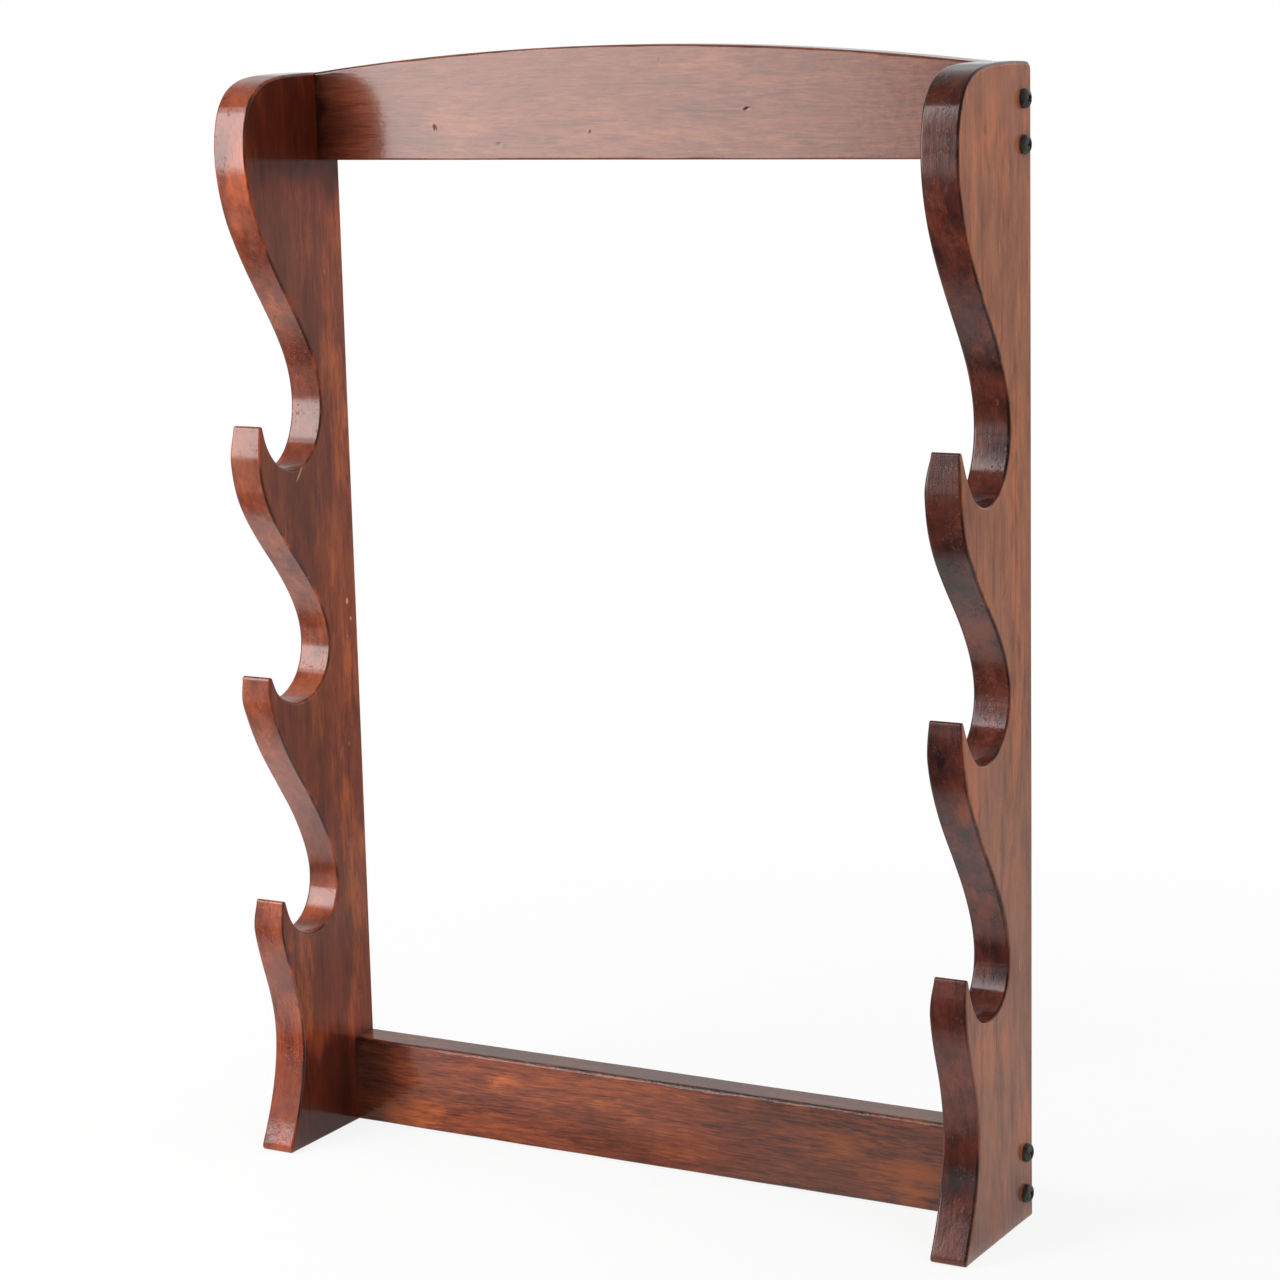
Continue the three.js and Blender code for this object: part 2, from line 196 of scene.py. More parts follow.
def bezier(start, pull0, pull1, end, steps):
    share = np.linspace(0, 1, steps + 1)[:, None]
    start, pull0, pull1, end = map(np.array, (start, pull0, pull1, end))
    return ((1 - share) ** 3 * start + 3 * share * (1 - share) ** 2 * pull0
            + 3 * share * share * (1 - share) * pull1 + share ** 3 * end)


def rounded_rect(width, height, radius, steps, x=0.0, y=0.0):
    """Anticlockwise outline round the centre (x, y)."""
    dx, dy = width / 2 - radius, height / 2 - radius
    corners = [arc(sx * dx, sy * dy, radius, k * math.pi / 2, (k + 1) * math.pi / 2, steps)
               for k, (sx, sy) in enumerate(((1, 1), (-1, 1), (-1, -1), (1, -1)))]
    return np.vstack(corners) + np.array([x, y])


def drop_repeats(outline, gap):
    """A closed outline without the points that lie within gap of the one before."""
    return outline[lengths(outline - np.roll(outline, 1, axis=0)) > gap]


def edges_around(outline):
    """The edges that arrive at and leave each point of a closed outline."""
    return outline - np.roll(outline, 1, axis=0), np.roll(outline, -1, axis=0) - outline


def outline_normals(outline):
    """Outward unit normals of a closed outline that runs with the material on its right."""
    arriving, leaving = edges_around(outline)
    length0, length1 = lengths(arriving)[:, None], lengths(leaving)[:, None]
    tangent = arriving / length0 * length1 + leaving / length1 * length0
    tangent /= lengths(tangent)[:, None]
    return np.c_[-tangent[:, 1], tangent[:, 0]]


def convex_radius(outline):
    """Radius of curvature where the outline is convex, large elsewhere."""
    arriving, leaving = edges_around(outline)
    cross = arriving[:, 0] * leaving[:, 1] - arriving[:, 1] * leaving[:, 0]
    turn = np.arctan2(-cross, (arriving * leaving).sum(1))
    run = 0.5 * (lengths(arriving) + lengths(leaving))
    return np.where(turn > 1e-3, run / np.maximum(turn, 1e-3), 1e3)


def inside(outline, points):
    """Even-odd test of many points against one closed outline."""
    x, y = points[:, 0], points[:, 1]
    result = np.zeros(len(points), bool)
    for (x0, y0), (x1, y1) in zip(outline, np.roll(outline, -1, axis=0)):
        if y0 != y1:
            crosses = (y0 > y) != (y1 > y)
            result ^= crosses & (x < (x1 - x0) * (y - y0) / (y1 - y0) + x0)
    return result


def inside_board(loops, points):
    """Whether points lie inside the first loop and outside the others."""
    result = inside(loops[0], points)
    for hole in loops[1:]:
        result &= ~inside(hole, points)
    return result


def fill(loops, spacing, margin):
    """Triangles over the first loop less the others, with a staggered grid of inner points.
    Returns (points, triangles, index of each loop's first point and the number of rim points)."""
    rim = np.vstack(loops)
    starts = np.r_[0, np.cumsum([len(loop) for loop in loops])]
    edges = []
    for start, loop in zip(starts, loops):
        count = len(loop)
        edges += [(int(start + i), int(start + (i + 1) % count)) for i in range(count)]
    low, high = loops[0].min(0), loops[0].max(0)
    columns = np.arange(low[0] + spacing * 0.5, high[0], spacing)
    rows = np.arange(low[1] + spacing * 0.5, high[1], spacing * 0.866)
    grid = np.array([(x + (0.5 * spacing if j % 2 else 0), y)
                     for j, y in enumerate(rows) for x in columns])
    grid = grid[inside_board(loops, grid)]
    gap = np.hypot(grid[:, None, 0] - rim[:, 0], grid[:, None, 1] - rim[:, 1]).min(1)
    points = np.vstack([rim, grid[gap > margin]])
    flat = [Vector((float(x), float(y))) for x, y in points]
    _, _, faces, sources, _, _ = delaunay_2d_cdt(flat, edges, [], 0, 1e-7, True)
    first = [source[0] if source else -1 for source in sources]
    if min(first) < 0:
        raise RuntimeError("an outline crosses itself")
    triangles = np.array([[first[v] for v in face] for face in faces if len(face) == 3])
    return points, triangles[inside_board(loops, points[triangles].mean(1))], starts


# ----------------------------------------------------------------------------------------------
# meshes
# ----------------------------------------------------------------------------------------------
def make_object(name, verts, faces, normals=None):
    """verts in millimetres; normals is one vector for each face corner."""
    mesh = bpy.data.meshes.new(name)
    mesh.from_pydata([tuple(v) for v in np.asarray(verts, float) * MM], [],
                     [tuple(int(i) for i in face) for face in faces])
    mesh.update()
    ob = bpy.data.objects.new(name, mesh)
    scene.collection.objects.link(ob)
    if normals is not None:
        mesh.shade_smooth()
        mesh.normals_split_custom_set([tuple(normal) for normal in normals])
    return ob


def orient(ob):
    """Turns all faces outwards."""
    bm = bmesh.new()
    bm.from_mesh(ob.data)
    bmesh.ops.recalc_face_normals(bm, faces=bm.faces)
    if bm.calc_volume(signed=True) < 0:
        bmesh.ops.reverse_faces(bm, faces=bm.faces)
    bm.to_mesh(ob.data)
    bm.free()
    ob.data.update()
    return ob


def apply_modifiers(ob):
    depsgraph = bpy.context.evaluated_depsgraph_get()
    mesh = bpy.data.meshes.new_from_object(ob.evaluated_get(depsgraph),
                                           preserve_all_data_layers=True, depsgraph=depsgraph)
    old = ob.data
    ob.modifiers.clear()
    ob.data = mesh
    bpy.data.meshes.remove(old)
    mesh.name = ob.name


def cut(ob, tools):
    """Takes the tools away from the object and deletes them."""
    for tool in tools:
        modifier = ob.modifiers.new("cut", "BOOLEAN")
        modifier.operation, modifier.object, modifier.solver = "DIFFERENCE", tool, "MANIFOLD"
    apply_modifiers(ob)
    for tool in tools:
        mesh = tool.data
        bpy.data.objects.remove(tool)
        bpy.data.meshes.remove(mesh)


def finish_normals(ob, angle=32):
    """Smooth shading that breaks at edges sharper than angle, in degrees."""
    ob.data.shade_smooth()
    ob.data.set_sharp_from_angle(angle=math.radians(angle))
    modifier = ob.modifiers.new("wn", "WEIGHTED_NORMAL")
    modifier.mode, modifier.weight, modifier.keep_sharp = "FACE_AREA", 50, True
    apply_modifiers(ob)


def wall_faces(verts, starts, normals, levels, axis):
    """Quads between the rings of one loop, and their corner normals."""
    faces, corner_normals = [], []
    here = np.arange(len(normals))
    after = (here + 1) % len(normals)
    for k in range(len(levels) - 1):
        angle0, angle1 = math.radians(levels[k][3]), math.radians(levels[k + 1][2])
        low = normals * math.cos(angle0) + axis * math.sin(angle0)
        high = normals * math.cos(angle1) + axis * math.sin(angle1)
        diagonal0 = verts[starts[k + 1] + after] - verts[starts[k] + here]
        diagonal1 = verts[starts[k + 1] + here] - verts[starts[k] + after]
        flip = (np.cross(diagonal0, diagonal1) * (low + high)).sum() < 0
        for i, j in zip(here, after):
            face = [starts[k] + i, starts[k] + j, starts[k + 1] + j, starts[k + 1] + i]
            corners = [low[i], low[j], high[j], high[i]]
            faces.append(face[::-1] if flip else face)
            corner_normals += corners[::-1] if flip else corners
    return faces, corner_normals


def bend_with_normals(bend, verts, faces, corner_normals):
    """Moves the verts by bend and turns the corner normals with them."""
    verts, reach = np.array(verts), 0.05
    jacobian = np.stack([(bend(verts + reach * unit) - bend(verts - reach * unit)) / (2 * reach)
                         for unit in np.eye(3)], axis=2)
    turn = np.linalg.inv(jacobian).transpose(0, 2, 1)
    corners = np.concatenate([np.asarray(face) for face in faces])
    turned = np.einsum("nij,nj->ni", turn[corners], np.array(corner_normals))
    return bend(verts), turned / np.linalg.norm(turned, axis=1)[:, None]


def plate(name, loops, place, axis, spacing=5.0, margin=2.4, bend=None):
    """A flat board. Each loop is (points, normals, levels): its points, the unit normals that
    point out of the material, and levels from the low face to the high face as (inset, height,
    angle before, angle after); inset and height are a number or one for each point. place maps
    (points, heights) to space, axis is the direction of height and bend moves finished points."""
    axis = np.array(axis, float)

    def ring(points, normals, level):
        return points - normals * np.reshape(level[0], (-1, 1))

    verts, faces, corner_normals, ring_starts = [], [], [], []
    for points, normals, levels in loops:
        starts = []
        for level in levels:
            starts.append(len(verts))
            heights = np.broadcast_to(level[1], len(points))
            verts += list(place(ring(points, normals, level), heights))
        ring_starts.append(starts)

    for (points, normals, levels), starts in zip(loops, ring_starts):
        zero = np.zeros(len(points))
        normals = place(normals, zero) - place(np.zeros((len(points), 2)), zero)
        more_faces, more_normals = wall_faces(np.array(verts), starts, normals, levels, axis)
        faces += more_faces
        corner_normals += more_normals

    for end, sign in ((0, -1.0), (-1, 1.0)):
        rings = [ring(points, normals, levels[end]) for points, normals, levels in loops]
        points, triangles, firsts = fill(rings, spacing, margin)
        rim_count = firsts[-1]
        index = np.zeros(len(points), int)
        for first, rim, starts in zip(firsts, rings, ring_starts):
            index[first:first + len(rim)] = starts[end] + np.arange(len(rim))
        inner_count = len(points) - rim_count
        index[rim_count:] = len(verts) + np.arange(inner_count)
        height = float(np.ravel(loops[0][2][end][1])[0])    # a rim is level all round
        verts += list(place(points[rim_count:], np.full(inner_count, height)))
        corners = np.array(verts)
        cap = index[triangles]
        face_normals = np.cross(corners[cap[:, 1]] - corners[cap[:, 0]],
                                corners[cap[:, 2]] - corners[cap[:, 0]])
        if (face_normals @ axis).sum() * sign < 0:
            cap = cap[:, ::-1]
        faces += [list(face) for face in cap]
        corner_normals += [axis * sign] * (3 * len(cap))

    if bend is not None:
        verts, corner_normals = bend_with_normals(bend, verts, faces, corner_normals)
    return make_object(name, verts, faces, corner_normals)


def round_levels(radius, half, steps=6, between=3):
    """Levels of a board edge rounded on both faces, with a number of rings in between."""
    levels = []
    for k in range(steps + 1):
        angle = -90 + 90 * k / steps
        out, up = math.cos(math.radians(angle)), math.sin(math.radians(angle))
        levels.append((radius * (1 - out), -half + radius * (1 + up), angle, angle))
    for k in range(between):
        levels.append((0.0, -half + (2 * half) * (k + 1) / (between + 1), 0, 0))
    for k in range(steps + 1):
        angle = 90 * k / steps
        out, up = math.cos(math.radians(angle)), math.sin(math.radians(angle))
        levels.append((radius * (1 - out), half - radius * (1 - up), angle, angle))
    return levels


def lathe(name, rings, segments, to_axis=lambda verts: verts):
    """Turns (radius, height) rings about X. A radius is a number or one for each segment; the
    first and last are 0, on the axis. to_axis maps the verts to another axis."""
    verts, faces, rows = [], [], []
    angles = np.arange(segments) * 2 * math.pi / segments
    for radius, height in rings:
        if np.max(radius) < 1e-9:
            rows.append([len(verts)] * segments)
            verts.append((height, 0, 0))
        else:
            rows.append(list(range(len(verts), len(verts) + segments)))
            verts += [(height, r * math.cos(angle), r * math.sin(angle))
                      for r, angle in zip(np.broadcast_to(radius, segments), angles)]
    for low, high in zip(rows[:-1], rows[1:]):
        for i in range(segments):
            j = (i + 1) % segments
            face = list(dict.fromkeys((low[i], low[j], high[j], high[i])))
            if len(face) > 2:
                faces.append(face)
    return orient(make_object(name, to_axis(np.array(verts, float)), faces))


def prism(outline, low, high):
    """A cutting tool: a straight prism of an (x, z) outline from y low to y high."""
    count = len(outline)
    verts = [(x, y, z) for y in (low, high) for x, z in outline]
    faces = [list(range(count))[::-1], list(range(count, 2 * count))]
    faces += [[i, (i + 1) % count, count + (i + 1) % count, count + i] for i in range(count)]
    return orient(make_object("tool", verts, faces))


# ----------------------------------------------------------------------------------------------
# side panels
# ----------------------------------------------------------------------------------------------
def hand_sanded(curve, seed):
    """Lets a curve wander by a few hundredths, less near its ends."""
    count = len(curve)
    tangent = np.gradient(curve, axis=0)
    tangent /= lengths(tangent)[:, None]
    fade = np.clip(np.minimum(np.arange(count), np.arange(count)[::-1]) / 12.0, 0, 1)
    wander = (smooth_noise(count, 17, seed) * 0.05
              + smooth_noise(count, 41, seed + 50) * 0.10) * fade
    return curve + np.c_[-tangent[:, 1], tangent[:, 0]] * wander[:, None]


def panel_outline(seed):
    """(depth, height) points, from the top of the back edge forwards and down."""
    shoulder = PANEL_TOP_Z - TOP_CORNER_R
    pieces = [arc(TOP_CORNER_R, shoulder, TOP_CORNER_R, math.pi, math.pi / 2, 10)[:-1]]
    for i, stretch in enumerate(STRETCHES):
        curve = hand_sanded(smooth(centripetal(stretch, step=1.0), sigma=3.2), seed + i)
        pieces.append(curve)
        if i < len(TIP_CENTRES):
            depth, z = TIP_CENTRES[i]
            next_depth, next_z = STRETCHES[i + 1][0]
            start = math.atan2(curve[-1][1] - z, curve[-1][0] - depth)
            end = math.atan2(next_z - z, next_depth - depth)
            pieces.append(arc(depth, z, TIP_RADIUS, start, end, 9)[1:-1])
    pieces.append(bezier(STRETCHES[-1][-1], [80.75, 1.55], [80.1, 0], [FOOT_FRONT, 0], 9)[1:])
    pieces.append(np.c_[np.linspace(FOOT_FRONT, FOOT_CORNER_R, 30)[1:-1], np.zeros(28)])
    pieces.append(arc(FOOT_CORNER_R, FOOT_CORNER_R, FOOT_CORNER_R, -math.pi / 2, -math.pi, 6))
    pieces.append(np.c_[np.zeros(138), np.linspace(FOOT_CORNER_R, shoulder, 140)[1:-1]])
    return drop_repeats(np.vstack(pieces), 0.02)


def edge_radius(outline, seed):
    """Uneven rounding of the panel's edges, small enough for the tight curves."""
    count = len(outline)
    radius = (1.55 + 0.22 * smooth_noise(count, 60, seed + 7)
              + 0.10 * smooth_noise(count, 23, seed + 8))
    radius = np.minimum(radius, 0.86 * convex_radius(outline))
    return np.minimum.reduce([np.roll(radius, k) + 0.05 * abs(k) for k in range(-24, 25)])


def hole_loop(points, centre, radius, levels):
    return points, -(points - np.array(centre)) / radius, levels


def side_panel(name, side, seed):
    outline = panel_outline(seed)
    half = PANEL_THICK / 2
    centre = side * (HALF_WIDTH - half)

    def place(points, heights):
        return np.c_[centre + heights, BACK_Y - points[:, 0], points[:, 1]]

    def wear_tips(verts):
        """Lifts, pulls forward and thins the panel round each hook tip."""
        verts = verts.copy()
        depth, height = BACK_Y - verts[:, 1], verts[:, 2].copy()
        for (tip_depth, tip_z), (rise, inner, outer) in zip(TIP_CENTRES, TIP_WEAR[side]):
            distance = np.hypot(depth - tip_depth, height - tip_z)
            lift = np.clip(1 - distance / 28.0, 0, 1)
            verts[:, 2] += rise * lift * lift * (3 - 2 * lift)
            near = np.clip(1 - distance / 16.0, 0, 1) ** 1.5
            verts[:, 1] += 1.5 * near
            offset = verts[:, 0] - centre
            verts[:, 0] -= np.where(offset * side > 0, outer, inner) * near * offset / half
        return verts

    loops = [(outline, outline_normals(outline), round_levels(edge_radius(outline, seed), half))]
    for depth, heights in ((TOP_THICK / 2, TOP_SCREWS), (LOW_THICK / 2, LOW_SCREWS)):
        for z in heights:
            loops.append(hole_loop(circle(depth, z, HOLE_RADIUS, 40), [depth, z], HOLE_RADIUS,
                                   [(0, h, 0, 0) for h in (-half, 0, half)]))
    return plate(name, loops, place, axis=(1, 0, 0), bend=wear_tips)


# ----------------------------------------------------------------------------------------------
# rails
# ----------------------------------------------------------------------------------------------
def stations(low, high, step, fine):
    """Positions from low to high, closer together round each (centre, reach, step) of fine."""
    places, x = [low], low
    while x < high - 1e-6:
        here = step
        for centre, reach, fine_step in fine:
            distance = abs(x - centre)
            if distance < reach:
                here = min(here, fine_step)
            elif distance < reach + 6:
                here = min(here, fine_step + (step - fine_step) * (distance - reach) / 6)
        x = min(high, x + here)
        places.append(x)
    if places[-1] - places[-2] < 0.1 * step:
        places.pop(-2)
    return np.array(places)


def round_dents(dents, axis, margin):
    """Fine stations round the dents along X (axis 0) or Z (axis 1)."""
    return [(dent[axis], dent[axis + 2] * 2.4 + margin, min(dent[2], dent[3]) * 0.28)
            for dent in dents]


def rail_section(thick, bottom, top, radii, heights):
    """Depths and heights round the section, each an array over the stations. radii is (front
    top, front bottom, back bottom, back top); heights are the rows of the flat front."""
    front_top, front_low, back_low, back_top = radii
    ones = np.ones(len(top))
    turns = np.linspace(0, math.pi / 2, 9)
    rows = []
    for turn in turns[::-1]:                        # front bottom corner, from below
        rows.append((thick - front_low + front_low * np.cos(turn),
                     bottom + front_low - front_low * np.sin(turn)))
    for z in heights:
        rows.append((thick * ones, z * ones))
    if (top - min(top)).max() > 0.5:                # between the flat field and an arched edge
        last = heights[-1]
        for k in range(1, 6):
            rows.append((thick * ones, last + (top - front_top - last) * k / 6))
    for turn in turns:                              # front top corner
        rows.append((thick - front_top + front_top * np.cos(turn),
                     top - front_top + front_top * np.sin(turn)))
    for k in range(1, 7):                           # top face
        rows.append((thick - front_top + (back_top - thick + front_top) * (k / 7), top))
    for turn in turns:                              # back top corner
        rows.append((back_top - back_top * np.sin(turn),
                     top - back_top + back_top * np.cos(turn)))
    for k in range(1, 12):                          # back face
        rows.append((0 * ones, (top - back_top) + (bottom + back_low - top + back_top) * (k / 12)))
    for turn in turns:                              # back bottom corner
        rows.append((back_low - back_low * np.cos(turn),
                     bottom + back_low - back_low * np.sin(turn)))
    for k in range(1, 7):                           # lower face
        rows.append((back_low + (thick - front_low - back_low) * (k / 7), bottom * ones))
    return np.array([row[0] for row in rows]), np.array([row[1] for row in rows])


def rail(name, thick, bottom, top_at, radii, dents, seed):
    """A board along X with rounded long edges. top_at(x) is its upper edge. radii is as for
    rail_section. dents are (x, z, radius x, radius z, depth, tilt) on the front face."""
    stops = stations(-RAIL_HALF, RAIL_HALF, 2.0, round_dents(dents, 0, 0.6))

    def along(period, noise_seed, x=stops):
        return np.interp(x, np.linspace(-RAIL_HALF, RAIL_HALF, 400),
                         smooth_noise(400, period, noise_seed))

    front_top, front_low, back_low, back_top = radii
    uneven = (front_top * (1 + 0.22 * along(22, seed) + 0.10 * along(7, seed + 20)),
              front_low * (1 + 0.20 * along(22, seed + 1)),
              back_low * (1 + 0.15 * along(22, seed + 2)),
              back_top * (1 + 0.20 * along(22, seed + 3)))
    top = np.array([top_at(x) for x in stops])
    heights = stations(bottom + front_low * 1.3 + 0.6, min(top) - front_top * 1.4 - 1.2, 2.2,
                       round_dents(dents, 1, 0.4))
    depth, z = rail_section(thick, bottom, top, uneven, heights)
    x = np.broadcast_to(stops, depth.shape)

    # the hand-planed front is a touch uneven, and has its dents
    front = depth > thick - 0.02
    up_noise = np.interp(z, np.linspace(bottom, max(top), 60), smooth_noise(60, 21, seed + 32))
    depth = depth - front * (0.035 + 0.030 * along(30, seed + 31, x) * up_noise
                             + 0.02 * along(60, seed + 33, x))
    for dent_x, dent_z, radius_x, radius_z, deep, tilt in dents:
        cos, sin = math.cos(tilt), math.sin(tilt)
        across = ((x - dent_x) * cos + (z - dent_z) * sin) / radius_x
        upward = (-(x - dent_x) * sin + (z - dent_z) * cos) / radius_z
        square = across * across + upward * upward
        lip = 0.16 * np.exp(-((np.sqrt(square) - 1.55) ** 2) * 5)
        depth = depth - front * deep * (np.exp(-square * 1.4) - lip)

    count, around = len(stops), len(depth)
    verts = np.stack([x.T, (BACK_Y - depth).T, z.T], -1).reshape(-1, 3)
    faces = []
    for i in range(count - 1):
        here, after = i * around, (i + 1) * around
        for k in range(around):
            m = (k + 1) % around
            faces.append([here + k, here + m, after + m, after + k])
    faces += [list(range(around)), [(count - 1) * around + k for k in range(around)][::-1]]
    return orient(make_object(name, verts, faces))


def end_hole(side, z, thick):
    """A drill along X into the end of a rail."""
    bottom = RAIL_HALF - HOLE_LENGTH
    tip = bottom - HOLE_RADIUS / math.tan(math.radians(DRILL_HALF_ANGLE))
    mouth = RAIL_HALF + 3
    tool = lathe("tool", [(0, side * tip), (HOLE_RADIUS, side * bottom),
                          (HOLE_RADIUS, side * mouth), (0, side * mouth)], 36)
    tool.data.transform(Matrix.Translation((0, (BACK_Y - thick / 2) * MM, z * MM)))
    return tool


def back_bore(x, z, radius, depth):
    """A drill along Y into the back of a rail."""
    tool = lathe("tool", [(0, BACK_Y - depth - radius * 0.6), (radius, BACK_Y - depth),
                          (radius, BACK_Y + 3), (0, BACK_Y + 3)], 28,
                 to_axis=lambda verts: np.c_[-verts[:, 1], verts[:, 0], verts[:, 2]])
    tool.data.transform(Matrix.Translation((x * MM, 0, z * MM)))
    return tool


def hanger_tools(x):
    """The plate's recess, the pocket below it and the pilot holes of its screws."""
    floor_y = BACK_Y - (PLATE_SINK + PLATE_THICK + 0.3)
    recess = rounded_rect(PLATE_WIDTH + 0.6, PLATE_HEIGHT + 0.6, 3.3, 8, x, PLATE_Z)
    pocket = rounded_rect(12, 23, 5.6, 10, x, PLATE_Z + 0.6)
    return [prism(recess, floor_y, BACK_Y + 4), prism(pocket, floor_y - 7, floor_y + 1),
            *(back_bore(x, PLATE_Z + dz, radius=1.7, depth=13)
              for dz in (-PLATE_SCREW_DZ, PLATE_SCREW_DZ))]


def arch(x):
    return ARCH_MID_Z - ARCH_RADIUS + math.sqrt(ARCH_RADIUS ** 2 - x * x)


def top_rail():
    dents = [(-110.2, 524.4, 0.8, 1.7, 0.30, 0.3), (63.9, 532.2, 1.5, 0.8, 0.28, 0.15),
             (-21.5, 521.8, 0.7, 0.9, 0.2, -0.1), (-73.5, 516.1, 1.8, 1.0, 0.14, 0.05),
             (17.3, 556.0, 0.8, 1.3, 0.15, -0.5)]
    ob = rail("top_rail_board", TOP_THICK, TOP_BOTTOM_Z, arch, radii=(1.7, 1.1, 1.2, 1.4),
              dents=dents, seed=301)
    tools = []
    for side in (-1, 1):
        tools += [end_hole(side, z, TOP_THICK) for z in TOP_SCREWS]
        tools += hanger_tools(side * PLATE_X)
    cut(ob, tools)
    finish_normals(ob)
    return ob


def bottom_rail():
    dents = [(52.0, 22.0, 1.6, 0.8, 0.22, 0.1), (-96.0, 33.0, 1.0, 0.7, 0.2, 0.5)]
    ob = rail("bottom_rail_board", LOW_THICK, LOW_BOTTOM_Z, lambda x: LOW_TOP_Z,
              radii=(2.1, 1.3, 1.2, 1.5), dents=dents, seed=401)
    cut(ob, [end_hole(side, z, LOW_THICK) for side in (-1, 1) for z in LOW_SCREWS])
    finish_normals(ob)
    return ob


# ----------------------------------------------------------------------------------------------
# fasteners
# ----------------------------------------------------------------------------------------------
def wing(low, high, turn):
    """One tapered wing of a cross recess along X, between ends given as (x, span, width)."""
    verts = []
    cos, sin = math.cos(turn), math.sin(turn)
    for x, span, width in (low, high):
        for across, thick in ((-1, -1), (1, -1), (1, 1), (-1, 1)):
            y, z = across * span / 2, thick * width / 2
            verts.append((x, y * cos - z * sin, y * sin + z * cos))
    faces = [[3, 2, 1, 0], [4, 5, 6, 7]]
    faces += [[i, (i + 1) % 4, 4 + (i + 1) % 4, 4 + i] for i in range(4)]
    return orient(make_object("tool", verts, faces))


def cross_recess(low, high, core, segments):
    """Tools of a cross recess along X: two wings and the turned core in their middle."""
    wings = [wing(low, high, turn) for turn in (0, math.pi / 2)]
    return wings + [lathe("tool", core, segments)]


def thread(low, high, steps, pitch, ridge_width, segments, radius_at):
    """Rings of a thread. radius_at(height, ridge) gives the radii; ridge is 0..1 round a ring."""
    rings = []
    for k in range(steps + 1):
        height = low + (high - low) * k / steps
        phase = ((height - low) / pitch - np.arange(segments) / segments) % 1.0
        rings.append((radius_at(height, np.exp(-((phase - 0.5) / ridge_width) ** 2)), height))
    return rings


PAN_CROWN_X = 3.0                                   # height of the head's crown in its template


def pan_screw():
    """Template along X: bearing face at x = -0.28, crown at PAN_CROWN_X, point at x = -45."""
    point, low, high, pitch, segments, shank = -45.0, -43.6, -9.0, 1.8, 48, 2.1

    def radius_at(x, ridge):
        taper = min(1.0, (x - point) / 7.0)
        fade = max(min(1.0, (high - x) / 2.5), 0)
        radius = taper * (1.45 + 0.75 * ridge * fade) + 0.1
        return radius + (shank - radius) * max(0.0, 1 - (high - x) / 1.5) ** 2

    rings = [(0.0, point), (0.25, point + 0.3)]
    rings += thread(low, high, int((high - low) / pitch * 10), pitch, 0.13, segments, radius_at)
    rings += [(shank, -8.4), (shank, -0.30), (4.28, -0.28), (4.42, -0.22), (4.50, -0.08),
              (4.52, 0.25), (4.51, 0.75)]
    rings += [(4.5 * max(math.cos(angle), 0) ** 0.60, 0.95 + 2.05 * math.sin(angle))
              for angle in np.radians(np.linspace(6, 90, 15))[:-1]]
    rings.append((0.0, PAN_CROWN_X))
    ob = lathe("pan_template", rings, segments)
    cut(ob, cross_recess((0.95, 2.4, 0.80), (3.35, 4.9, 1.15),
                         [(0, 0.35), (0.35, 0.6), (1.05, 1.2), (1.55, 3.4), (0, 3.4)], 24))
    finish_normals(ob, 36)
    return ob


def flat_screw():
    """Countersunk template along Y: the head's face at y = 0, the point at y = -11."""
    point, segments = -11.0, 40

    def radius_at(y, ridge):
        return min(1.0, (y - point) / 3.0) * (0.95 + 0.45 * ridge) + 0.05

    rings = [(0.0, point), (0.3, point + 0.4)]
    rings += thread(-10.2, -2.2, 70, 1.1, 0.14, segments, radius_at)
    rings += [(1.35, -1.75), (1.40, -1.45), (2.62, -0.20), (2.70, -0.10), (2.66, -0.03),
              (2.5, 0.0), (0.0, 0.0)]
    ob = lathe("flat_template", rings, segments, to_axis=lambda verts: verts[:, [1, 0, 2]])
    tools = cross_recess((-1.05, 1.3, 0.5), (0.2, 2.9, 0.66),
                         [(0, -1.35), (0.55, -0.9), (0.85, 0.3), (0, 0.3)], 20)
    x_to_y = Matrix(((0, -1, 0, 0), (1, 0, 0, 0), (0, 0, 1, 0), (0, 0, 0, 1)))
    for tool in tools:
        tool.data.transform(x_to_y)
    cut(ob, tools)
    finish_normals(ob, 36)
    return ob


def plate_outline():
    """Clockwise rim, with extra points on the straight sides so that it stays even."""
    corners = drop_repeats(rounded_rect(PLATE_WIDTH, PLATE_HEIGHT, 3.0, 10)[::-1], 1e-4)
    points = []
    for start, end in zip(corners, np.roll(corners, -1, axis=0)):
        count = max(1, int(np.hypot(*(end - start)) / 2.0))
        points += [start + (end - start) * k / count for k in range(count)]
    return np.array(points)


def keyhole_outline():
    """Entry circle below, slot above; anticlockwise, so that the material is on the right."""
    entry_r, slot_r, entry_z, slot_z = 4.6, 2.3, -4.0, 6.5
    gap = math.asin(slot_r / entry_r)
    entry = arc(0, entry_z, entry_r, math.pi / 2 + gap, 2.5 * math.pi - gap, 40)
    right = np.c_[np.full(5, slot_r), np.linspace(entry[-1][1], slot_z, 7)[1:-1]]
    left = np.c_[np.full(5, -slot_r), np.linspace(slot_z, entry[0][1], 7)[1:-1]]
    return np.vstack([entry, right, arc(0, slot_z, slot_r, 0, math.pi, 20), left])


